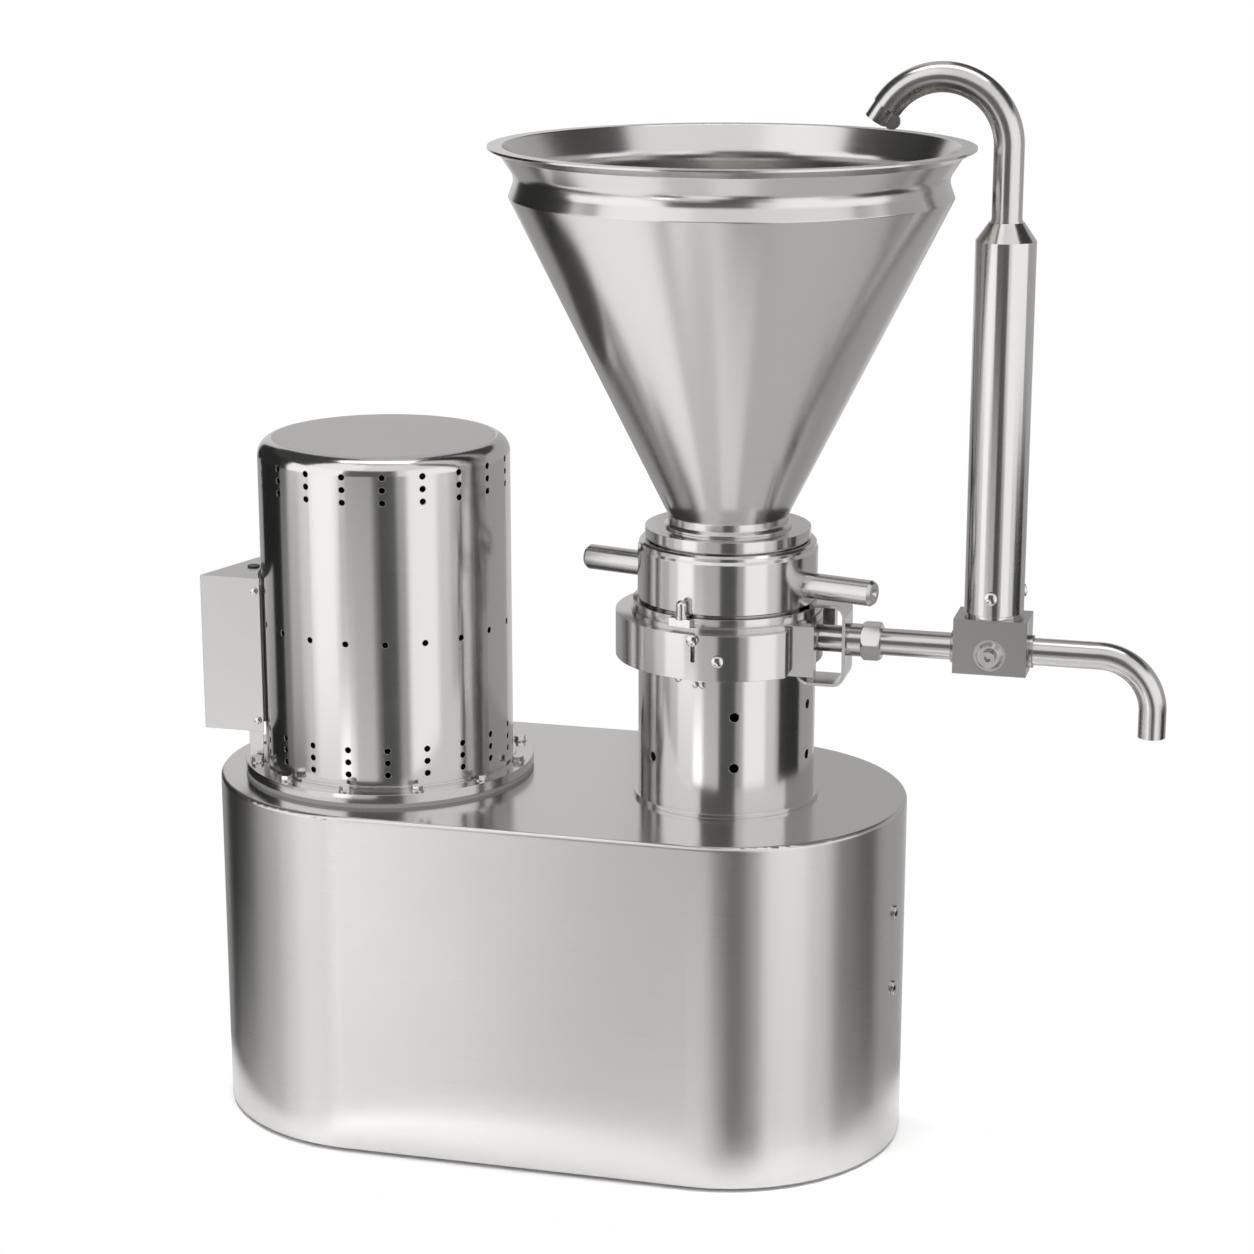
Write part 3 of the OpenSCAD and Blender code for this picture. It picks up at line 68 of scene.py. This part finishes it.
# Each card reaches from one direction to another, in degrees right of the camera, and between two heights,
# and has a brightness
CARDS = [
    ("softbox_left", -66.0, -43.0, BASE, EYE, 1.45),
    ("softbox_side_low", -66.0, -43.0, LOW, BASE, 0.90),
    ("softbox_left_low", -43.0, -32.0, LOW, BASE, 2.40),
    ("white_front_low", -32.0, -29.0, LOW, BASE, 1.80),
    ("grey_front_low", -29.0, -9.0, LOW, BASE, 0.80),
    ("grey_front", -43.0, -9.0, BASE, EYE, 0.62),
    ("flag_front", -9.0, 12.0, LOW, EYE, 0.10),
    ("grey_front_right", 12.0, 21.0, LOW, EYE, 0.44),
    ("softbox_right", 23.0, 50.0, LOW, EYE, 1.28),
    ("white_right", 50.0, 64.0, LOW, EYE, 0.85),
    ("grey_side_right", 64.0, 69.0, LOW, EYE, 0.60),
    ("flag_right", 69.0, 105.0, LOW, EYE, 0.03),
    ("grey_right", 105.0, 150.0, LOW, EYE, 0.44),
    ("white_back", 150.0, 182.0, LOW, EYE, 0.66),
    ("grey_back", 182.0, 220.0, LOW, EYE, 0.40),
    ("flag_left", 220.0, 257.0, LOW, EYE, 0.02),
    ("dim_left", 257.0, 266.0, BASE, EYE, 0.26),
    ("grey_left", 266.0, 280.0, BASE, EYE, 0.62),
    ("white_left", 280.0, 294.0, BASE, EYE, 0.92),
    ("dim_left_low", 257.0, 282.0, LOW, BASE, 0.15),
    ("grey_left_low", 282.0, 294.0, LOW, BASE, 0.60),
    ("softbox_left_mid", -92.0, -33.0, EYE, MID, 1.40),
    ("flag_over_camera", -33.0, 12.0, EYE, MID, 0.14),
    ("softbox_right_mid", 22.0, 84.0, EYE, MID, 1.30),
    ("grey_right_mid", 84.0, 150.0, EYE, MID, 0.52),
    ("white_back_mid", 150.0, 178.0, EYE, MID, 0.52),
    ("grey_back_mid", 178.0, 208.0, EYE, MID, 0.74),
    ("flag_left_mid", 208.0, 268.0, EYE, MID, 0.03),
    ("softbox_left_high", -75.0, -20.0, MID, TOP, 1.28),
    ("white_front_high", -20.0, 66.0, MID, TOP, 1.02),
    ("flag_right_high", 66.0, 165.0, MID, TOP, 0.06),
    ("grey_back_high", 165.0, 200.0, MID, TOP, 0.60),
    ("flag_left_high", 200.0, 285.0, MID, TOP, 0.06),
]

# Level cards lower than the floor, which the hopper and the pipes mirror: directions, reach of the near and
# the far edge, and brightness
LEVEL_CARDS = [
    ("low_left", -140.0, -52.0, 0.85, 3.5, 1.20),
    ("low_front_left", -52.0, -10.0, 0.85, 1.7, 0.70),
    ("low_front", -10.0, 25.0, 0.85, 1.7, 1.00),
    ("low_right", 25.0, 105.0, 0.85, 3.5, 0.62),
    ("low_back_right", 105.0, 150.0, 0.85, 3.5, 0.40),
    ("low_flag_left", -45.0, -26.0, 1.9, 3.5, 0.08),
    ("low_white", -26.0, 0.0, 1.9, 3.5, 1.25),
    ("low_flag", 0.0, 25.0, 1.9, 3.5, 0.08),
]
LEVEL_Z = -1.5
CEILING = 0.65

# Lamp over the object, in watts and metres, and the panel over it that the steel mirrors in its place
LAMP_PLACE = (0.3, 0.0, 3.2)
LAMP_SIZE = (3.0, 0.6)
LAMP_POWER = 180.0
PANEL_SIZE = (3.0, 0.8)
PANEL_GAP = 0.1
PANEL_LIGHT = 3.0

# Floor: an oval round the base
FLOOR_CENTRE = 0.01
FLOOR_HALF = (0.42, 0.265)
FLOOR_POINTS = 90
FLOOR_COLOR = (0.95, 0.95, 0.95, 1.0)

# Grain of the steel, as noise per metre along each axis, or on the lid by the distance from the motor's axis
LEVEL_GRAIN = (10.0, 10.0, 2200.0)
UPRIGHT_GRAIN = (2200.0, 2200.0, 12.0)
DECK_GRAIN = (10.0, 2200.0, 10.0)
EVEN_GRAIN = (30.0, 30.0, 30.0)
LID_GRAIN = 2600.0

# Steels: colour, roughness, grain, depth of the grain, and how far it stretches a highlight
STEELS = {
    "base_steel": ((0.645, 0.635, 0.62), 0.30, LEVEL_GRAIN, 0.05, 0.75),
    "polished_steel": ((0.65, 0.64, 0.625), 0.16, LEVEL_GRAIN, 0.02, 0.4),
    "hopper_steel": ((0.66, 0.645, 0.625), 0.21, LEVEL_GRAIN, 0.004, 0.4),
    "box_steel": ((0.56, 0.55, 0.54), 0.30, UPRIGHT_GRAIN, 0.04, 0.0),
    "block_steel": ((0.42, 0.41, 0.40), 0.22, EVEN_GRAIN, 0.0, 0.0),
    "fastener_steel": ((0.66, 0.65, 0.64), 0.14, LEVEL_GRAIN, 0.01, 0.0),
    "machined_steel": ((0.60, 0.60, 0.59), 0.24, LEVEL_GRAIN, 0.03, 0.3),
    "deck_steel": ((0.645, 0.635, 0.62), 0.17, DECK_GRAIN, 0.02, 0.0),
}
PIPE_STEEL = ((0.61, 0.60, 0.585), 0.22, EVEN_GRAIN, 0.0, 0.0)
LID_STEEL = ((0.57, 0.56, 0.55), 0.34, LID_GRAIN, 0.05, 0.0)

# Dark lines of the grain, as a share of the colour, and how far the grain changes the roughness
STEEL_DARK = 0.93
STEEL_SPREAD = 0.03

# Smudges: how far they change the roughness, and noise per metre
SMUDGE = 0.05
SMUDGE_GRAIN = (7.0, 7.0, 7.0)

# Height of the grain, turn of the stretched highlights, and rounding of sharp edges
STEEL_RELIEF = 0.0002
QUARTER_TURN = 0.25
EDGE_RADIUS = 0.0007

# Values between which most of the noise lies, and its middle
NOISE_LOW = 0.25
NOISE_HIGH = 0.75
NOISE_MIDDLE = 0.5

# Paints, plastic and rubber: colour, roughness, grain per metre and share of metal
PAINTS = {
    "pulley_iron": ((0.16, 0.16, 0.165), 0.45, 700.0, 0.9),
    "motor_paint": ((0.10, 0.13, 0.17), 0.42, 400.0, 0.0),
    "fan_plastic": ((0.03, 0.03, 0.032), 0.5, 400.0, 0.0),
    "rubber": ((0.018, 0.018, 0.018), 0.75, 400.0, 0.0),
    "grey_rubber": ((0.42, 0.42, 0.41), 0.32, 400.0, 0.0),
}

# Dark specks of a paint, as a share of the colour, and strength and height of its skin
PAINT_DARK = 0.8
PAINT_DEPTH = 0.1
PAINT_RELIEF = 0.0003

# Nodes that have another finish than their slot's, all over or on their flat top, and what counts as the top
OWN_FINISH = {
    "outlet_tube": "pipe_steel",
    "outlet_nipple": "pipe_steel",
    "handle_left": "pipe_steel",
    "handle_right": "pipe_steel",
    "shroud_gasket": "grey_rubber",
}
TOP_FINISH = {"base_shell": "deck_steel", "motor_shroud": "lid_steel"}
TOP_FACING = 0.98
TOP_DEPTH = 0.002

# Hopper: foot, wall, bead at the foot, its side as reach, height over the foot and rounding of each corner,
# and its flat rim with the rounding of the inner edge
HOPPER_Z = 0.602
HOPPER_WALL = 0.002
BEAD_REACH = 0.003
BEAD_HEIGHT = 0.002
BEAD_TOP = 0.005
HOPPER_SIDE = [
    (0.0570, 0.0120, 0.0040),
    (0.2038, 0.3080, 0.0012),
    (0.1974, 0.3255, 0.0150),
    (0.2108, 0.3460, 0.0020),
]
RIM_REACH = 0.2226
RIM_TOP = 0.354
RIM_EDGE = 0.0015
HOPPER_POINTS = 180

# Spout: level run out of the valve block, bend and drop
PIPE_RADIUS = 0.0127
PIPE_BORE = 0.0107
SPOUT_START = 0.4445
SPOUT_CENTRE = Vector((0.5175, 0.0, 0.448))
SPOUT_RADIUS = 0.050
SPOUT_TURN = 90.0
SPOUT_END = 0.424
SPOUT_STEPS = 30

# Gooseneck: weld at the cone, leg and bend; the nozzle sits to the outer side of the bend's end
NECK_FOOT = 0.88525
NECK_WELD = 0.8945
WELD_STEP = 0.002
WELD_RADIUS = 0.0145
NECK_RADIUS = 0.01375
BEND_CENTRE = Vector((0.3585, 0.0, 0.9605))
BEND_RADIUS = 0.060
BEND_TURN = 147.0
BEND_STEPS = 49
NOZZLE_RADIUS = 0.01025
NOZZLE_BORE = 0.00875
NOZZLE_SHIFT = 0.0023
NOZZLE_SOCKET = 0.008
NOZZLE_LENGTH = 0.016

# Points round a pipe, and directions in space
PIPE_POINTS = 72
ACROSS = Vector((0.0, 1.0, 0.0))
RIGHT = Vector((1.0, 0.0, 0.0))
UP = Vector((0.0, 0.0, 1.0))

# Small round tab under the nozzle: its place out from the bend's end and on along it
TAB_RADIUS = 0.0077
TAB_OUT = -0.0107
TAB_ON = 0.0080
TAB_THICKNESS = 0.002
TAB_POINTS = 48

# Short straight leads beside an arc or a bend, steps in an arc, and corners that stay sharp in the shading
ARC_LEAD = 0.0004
ARC_STEPS = 10
BEND_LEAD = 0.0005
SHARP = math.radians(30.0)


def circle(count):
    """Angles of evenly spaced points round a circle."""
    return [math.radians(360.0 / count * i) for i in range(count)]


def link(name, data):
    """Puts an object with this data in the scene."""
    made = bpy.data.objects.new(name, data)
    scene.collection.objects.link(made)
    return made


def link_mesh(name, points, faces, material):
    """Puts a mesh of one material in the scene."""
    mesh = bpy.data.meshes.new(name)
    mesh.from_pydata(points, [], faces)
    mesh.materials.append(material)
    return link(name, mesh)


def node_tree(owner):
    """Empties a material's or world's node tree and returns it."""
    owner.use_nodes = True
    owner.node_tree.nodes.clear()
    return owner.node_tree


def add(tree, kind, inputs=(), **settings):
    """Adds a node, sets its properties, and links or sets its inputs by name or number."""
    made = tree.nodes.new(kind)
    for key, value in settings.items():
        setattr(made, key, value)
    for key, value in dict(inputs).items():
        if isinstance(value, bpy.types.NodeSocket):
            tree.links.new(value, made.inputs[key])
        else:
            made.inputs[key].default_value = value
    return made


def math_node(tree, operation, a, b):
    return add(tree, "ShaderNodeMath", {0: a, 1: b}, operation=operation).outputs[0]


def tinted(tree, factor, color, dark):
    """Colour that goes from its dark share to full with a factor."""
    return add(tree, "ShaderNodeMix", {
        0: factor, 6: (*[c * dark for c in color], 1.0), 7: (*color, 1.0),
    }, data_type="RGBA").outputs[2]


def make_camera():
    azimuth = math.radians(CAMERA_AZIMUTH)
    elevation = math.radians(CAMERA_ELEVATION)
    back = Vector((
        math.sin(azimuth) * math.cos(elevation),
        -math.cos(azimuth) * math.cos(elevation),
        math.sin(elevation),
    ))
    data = bpy.data.cameras.new("camera")
    data.lens = CAMERA_LENS
    data.sensor_width = SENSOR
    camera = link("camera", data)
    camera.location = CAMERA_TARGET + back * CAMERA_DISTANCE
    camera.rotation_mode = "QUATERNION"
    camera.rotation_quaternion = (-back).to_track_quat("-Z", "Y")
    scene.camera = camera


def make_world():
    """Plain white tent all round."""
    world = bpy.data.worlds.new("tent")
    scene.world = world
    tree = node_tree(world)
    light = add(tree, "ShaderNodeBackground", {"Color": (1.0, 1.0, 1.0, 1.0), "Strength": 1.0})
    add(tree, "ShaderNodeOutputWorld", {"Surface": light.outputs[0]})


def glow(name, bright):
    """Material that gives off even white light."""
    material = bpy.data.materials.new(name)
    tree = node_tree(material)
    light = add(tree, "ShaderNodeEmission", {"Strength": bright})
    add(tree, "ShaderNodeOutputMaterial", {"Surface": light.outputs[0]})
    return material


def make_card(name, first, last, bright, near, far):
    """Curved card between two directions and two edges (reach, height), hidden from the camera."""
    count = max(2, round((last - first) / CARD_STEP))
    points = []
    for i in range(count + 1):
        turn = math.radians(CAMERA_AZIMUTH + first + (last - first) * i / count)
        for reach, z in (near, far):
            points.append((reach * math.sin(turn), -reach * math.cos(turn), z))
    faces = [(2 * i, 2 * i + 2, 2 * i + 3, 2 * i + 1) for i in range(count)]
    card = link_mesh(name, points, faces, glow(name, bright))
    card.visible_camera = False


def make_cards():
    """Cards on a wide circle round the object, level ones below it, and the ceiling."""
    for name, first, last, low, high, bright in CARDS:
        make_card(name, first, last, bright, (CARD_DISTANCE, low), (CARD_DISTANCE, high))
    for name, first, last, near, far, bright in LEVEL_CARDS:
        make_card(name, first, last, bright, (near, LEVEL_Z), (far, LEVEL_Z))
    make_card("ceiling", 0.0, 360.0, CEILING, (0.0, TOP), (CARD_DISTANCE, TOP))


def make_floor():
    """Plain pale floor under the object."""
    material = bpy.data.materials.new("floor")
    tree = node_tree(material)
    lit = add(tree, "ShaderNodeBsdfDiffuse", {"Color": FLOOR_COLOR})
    add(tree, "ShaderNodeOutputMaterial", {"Surface": lit.outputs[0]})
    half_x, half_y = FLOOR_HALF
    turns = circle(FLOOR_POINTS)
    points = [(FLOOR_CENTRE + half_x * math.cos(t), half_y * math.sin(t), 0.0) for t in turns]
    floor = link_mesh("floor", points, [tuple(range(FLOOR_POINTS))], material)


def make_lamp():
    """Long strip lamp overhead, which lights the floor and gives the shadow, but that no steel mirrors."""
    data = bpy.data.lights.new("overhead", "AREA")
    data.shape = "RECTANGLE"
    data.size, data.size_y = LAMP_SIZE
    data.energy = LAMP_POWER
    lamp = link("overhead", data)
    lamp.location = LAMP_PLACE
    lamp.visible_glossy = False


def make_panel():
    """Soft panel over the lamp, which polished steel mirrors in its place."""
    x, y, z = LAMP_PLACE
    half_x = PANEL_SIZE[0] / 2
    half_y = PANEL_SIZE[1] / 2
    corners = ((-1, -1), (1, -1), (1, 1), (-1, 1))
    points = [(x + i * half_x, y + j * half_y, z + PANEL_GAP) for i, j in corners]
    panel = link_mesh("panel", points, [(0, 1, 2, 3)], glow("panel", PANEL_LIGHT))
    panel.visible_camera = False


def grain_vector(tree, scale):
    """Coordinates of the object, with the grain's scale along each axis."""
    place = add(tree, "ShaderNodeTexCoord").outputs["Object"]
    return add(tree, "ShaderNodeMapping", {"Vector": place, "Scale": scale}).outputs[0]


def turned_vector(tree, axis_x, pitch):
    """Coordinates that only change with the distance from an upright axis, for concentric grain."""
    place = add(tree, "ShaderNodeTexCoord").outputs["Object"]
    level = add(tree, "ShaderNodeMapping", {
        "Vector": place, "Location": (-axis_x, 0.0, 0.0), "Scale": (1.0, 1.0, 0.0),
    }).outputs[0]
    reach = add(tree, "ShaderNodeVectorMath", {0: level}, operation="LENGTH").outputs["Value"]
    return add(tree, "ShaderNodeCombineXYZ", {0: math_node(tree, "MULTIPLY", reach, pitch)}).outputs[0]


def steel(name, color, roughness, grain, depth, anisotropy, axis_x=None, edge=EDGE_RADIUS):
    """Stainless steel: fine grain lines, soft smudges, and slightly rounded edges."""
    material = bpy.data.materials.new(name)
    tree = node_tree(material)
    where = grain_vector(tree, grain) if axis_x is None else turned_vector(tree, axis_x, grain)
    lines = add(tree, "ShaderNodeTexNoise", {
        "Vector": where, "Scale": 1.0, "Detail": 3.0, "Roughness": 0.65,
    }).outputs[0]
    clouds = add(tree, "ShaderNodeTexNoise", {
        "Vector": grain_vector(tree, SMUDGE_GRAIN), "Scale": 1.0, "Detail": 4.0, "Roughness": 0.6,
    }).outputs[0]
    rough = add(tree, "ShaderNodeMapRange", {
        "Value": lines, "From Min": NOISE_LOW, "From Max": NOISE_HIGH,
        "To Min": roughness - STEEL_SPREAD, "To Max": roughness + STEEL_SPREAD,
    }).outputs[0]
    smear = math_node(tree, "MULTIPLY", math_node(tree, "SUBTRACT", clouds, NOISE_MIDDLE), SMUDGE)
    relief = {"Strength": depth, "Distance": STEEL_RELIEF, "Height": lines}
    if edge:
        relief["Normal"] = add(tree, "ShaderNodeBevel", {"Radius": edge}, samples=4).outputs[0]
    shader = add(tree, "ShaderNodeBsdfPrincipled", {
        "Base Color": tinted(tree, lines, color, STEEL_DARK),
        "Metallic": 1.0,
        "Roughness": math_node(tree, "ADD", rough, smear),
        "Anisotropic": anisotropy,
        "Anisotropic Rotation": QUARTER_TURN if anisotropy else 0.0,
        "Normal": add(tree, "ShaderNodeBump", relief).outputs[0],
        "Tangent": add(tree, "ShaderNodeTangent", direction_type="RADIAL", axis="Z").outputs[0],
    })
    add(tree, "ShaderNodeOutputMaterial", {"Surface": shader.outputs[0]})
    return material


def paint(name, color, roughness, grain, metallic):
    """Paint, plastic or rubber with a fine skin."""
    material = bpy.data.materials.new(name)
    tree = node_tree(material)
    specks = add(tree, "ShaderNodeTexNoise", {
        "Vector": grain_vector(tree, (grain, grain, grain)), "Scale": 1.0, "Detail": 3.0,
    }).outputs[0]
    bump = add(tree, "ShaderNodeBump", {
        "Strength": PAINT_DEPTH, "Distance": PAINT_RELIEF, "Height": specks,
    }).outputs[0]
    shader = add(tree, "ShaderNodeBsdfPrincipled", {
        "Base Color": tinted(tree, specks, color, PAINT_DARK),
        "Metallic": metallic,
        "Roughness": roughness,
        "Normal": bump,
    })
    add(tree, "ShaderNodeOutputMaterial", {"Surface": shader.outputs[0]})
    return material


def make_materials():
    """Finish of every slot and of the surfaces that have one of their own."""
    made = {name: steel(name, *look) for name, look in STEELS.items()}
    made["pipe_steel"] = steel("pipe_steel", *PIPE_STEEL, edge=0.0)
    made["lid_steel"] = steel("lid_steel", *LID_STEEL, axis_x=MOTOR_X)
    for name, look in PAINTS.items():
        made[name] = paint(name, *look)
    return made


def dress(materials):
    """Gives every node its finish, and two flat tops one of their own."""
    for part in frame["record"]["subparts"]:
        mesh = nodes[part["node"]].data
        mesh.materials.clear()
        mesh.materials.append(materials[OWN_FINISH.get(part["node"], part["material_slot"])])
    for name, finish in TOP_FINISH.items():
        mesh = nodes[name].data
        mesh.materials.append(materials[finish])
        top = max(v.co.z for v in mesh.vertices)
        for face in mesh.polygons:
            if face.normal.z > TOP_FACING and face.center.z > top - TOP_DEPTH:
                face.material_index = 1


def rounded(corners):
    """Closed outline through corners (x, z, radius), with an arc between short leads at each rounded one."""
    line = []
    for i, (x, z, radius) in enumerate(corners):
        here = Vector((x, z))
        if not radius:
            line.append(here)
            continue
        low = (Vector(corners[i - 1][:2]) - here).normalized()
        high = (Vector(corners[(i + 1) % len(corners)][:2]) - here).normalized()
        half = low.angle(high) / 2.0
        reach = radius / math.tan(half)
        centre = here + (low + high).normalized() * (radius / math.sin(half))
        start = here + low * reach - centre
        stop = here + high * reach - centre
        line.append(here + low * (reach + ARC_LEAD))
        for step in range(ARC_STEPS + 1):
            spoke = start.slerp(stop, step / ARC_STEPS).normalized()
            line.append(centre + spoke * radius)
        line.append(here + high * (reach + ARC_LEAD))
    return line


def skin(name, rings, body, node, material):
    """Smooth closed skin over rings of points, which stands for a node and moves with its body."""
    count = len(rings[0])
    faces = []
    for k in range(len(rings)):
        low = k * count
        high = (k + 1) % len(rings) * count
        faces += [(low + i, low + (i + 1) % count, high + (i + 1) % count, high + i) for i in range(count)]
    piece = link_mesh(name, [point for ring in rings for point in ring], faces, material)
    piece.data.polygons.foreach_set("use_smooth", [True] * len(faces))
    piece.data.set_sharp_from_angle(angle=SHARP)
    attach(piece, body)
    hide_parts(node)


def make_hopper(material):
    """Spun hopper: foot bead, cone, groove with a round waist, lip and flat rim."""
    foot = HOPPER_SIDE[0][0]
    bead = foot + BEAD_REACH
    outer = [(bead, 0.0, 0.0), (bead, BEAD_HEIGHT, 0.0), (foot, BEAD_TOP, 0.0), *HOPPER_SIDE]
    rim = [(RIM_REACH, RIM_TOP - HOPPER_WALL, 0.0), (RIM_REACH, RIM_TOP, 0.0)]
    edge = [(HOPPER_SIDE[-1][0] - HOPPER_WALL, RIM_TOP, RIM_EDGE)]
    inner = [(x - HOPPER_WALL, z, radius + HOPPER_WALL) for x, z, radius in HOPPER_SIDE[-2::-1]]
    outline = rounded(outer + rim + edge + inner + [(foot - HOPPER_WALL, 0.0, 0.0)])
    turns = circle(HOPPER_POINTS)
    rings = [[(MILL_X + x * math.cos(t), x * math.sin(t), HOPPER_Z + z) for t in turns] for x, z in outline]
    skin("hopper_spun", rings, "stator_unit", "hopper", material)


def pipe_rings(path, shift=0.0):
    """Rings of a pipe along a path of (point, direction, radius, bore), with its bore moved to one side."""
    turns = circle(PIPE_POINTS)
    outside = []
    inside = []
    for point, along, radius, bore in path:
        out = Vector((along.z, 0.0, -along.x))
        spokes = [out * math.cos(t) + ACROSS * math.sin(t) for t in turns]
        outside.append([point + spoke * radius for spoke in spokes])
        inside.append([point + out * shift + spoke * bore for spoke in spokes])
    return outside + inside[::-1]


def bend_place(centre, radius, degrees):
    """Point on a bend, with the directions away from its centre and on round it."""
    turn = math.radians(degrees)
    out = Vector((math.cos(turn), 0.0, math.sin(turn)))
    return centre + out * radius, out, Vector((-math.sin(turn), 0.0, math.cos(turn)))


def make_spout(material):
    """Spout: level run, quarter bend and drop in one pipe."""
    level = SPOUT_CENTRE.z + SPOUT_RADIUS
    drop = SPOUT_CENTRE.x + SPOUT_RADIUS
    route = [(Vector((x, 0.0, level)), RIGHT) for x in (SPOUT_START, SPOUT_CENTRE.x - BEND_LEAD)]
    for i in range(SPOUT_STEPS + 1):
        left = SPOUT_TURN * (SPOUT_STEPS - i) / SPOUT_STEPS
        point, _, on = bend_place(SPOUT_CENTRE, SPOUT_RADIUS, left)
        route.append((point, -on))
    route += [(Vector((drop, 0.0, z)), -UP) for z in (SPOUT_CENTRE.z - BEND_LEAD, SPOUT_END)]
    path = [(point, along, PIPE_RADIUS, PIPE_BORE) for point, along in route]
    skin("spout_bent", pipe_rings(path), "frame", "spout", material)


def make_gooseneck(material):
    """Gooseneck: weld, leg and bend in one pipe, and the nozzle in its end."""
    leg = BEND_CENTRE.x + BEND_RADIUS
    upright = [
        (NECK_FOOT, WELD_RADIUS),
        (NECK_WELD, WELD_RADIUS),
        (NECK_WELD + WELD_STEP, NECK_RADIUS),
        (BEND_CENTRE.z - BEND_LEAD, NECK_RADIUS),
    ]
    path = [(Vector((leg, 0.0, z)), UP, radius, NOZZLE_BORE) for z, radius in upright]
    for i in range(BEND_STEPS + 1):
        point, out, on = bend_place(BEND_CENTRE, BEND_RADIUS, BEND_TURN * i / BEND_STEPS)
        path.append((point, on, NECK_RADIUS, NOZZLE_BORE))
    neck = pipe_rings(path, NOZZLE_SHIFT)
    skin("gooseneck_bent", neck, "return_pipe", "gooseneck", material)
    middle = point + out * NOZZLE_SHIFT
    ends = (middle - on * NOZZLE_SOCKET, middle + on * NOZZLE_LENGTH)
    sleeve = pipe_rings([(end, on, NOZZLE_RADIUS, NOZZLE_BORE) for end in ends])
    skin("nozzle_turned", sleeve, "return_pipe", "nozzle_sleeve", material)


def make_tab(material):
    """Thin round tab under the nozzle, in the plane of the bend."""
    end, out, on = bend_place(BEND_CENTRE, BEND_RADIUS, BEND_TURN)
    centre = end + out * TAB_OUT + on * TAB_ON
    spokes = [out * math.cos(t) + on * math.sin(t) for t in circle(TAB_POINTS)]
    points = []
    for side in (-TAB_THICKNESS / 2.0, TAB_THICKNESS / 2.0):
        points += [centre + spoke * TAB_RADIUS + ACROSS * side for spoke in spokes]
    count = TAB_POINTS
    faces = [tuple(range(count - 1, -1, -1)), tuple(range(count, 2 * count))]
    faces += [(i, (i + 1) % count, count + (i + 1) % count, count + i) for i in range(count)]
    tab = link_mesh("nozzle_tab", points, faces, material)
    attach(tab, "return_pipe")


scene.view_settings.view_transform = "Standard"
make_camera()
make_world()
make_cards()
make_floor()
make_lamp()
make_panel()
finishes = make_materials()
dress(finishes)
make_hopper(finishes["hopper_steel"])
make_spout(finishes["pipe_steel"])
make_gooseneck(finishes["pipe_steel"])
make_tab(finishes["polished_steel"])
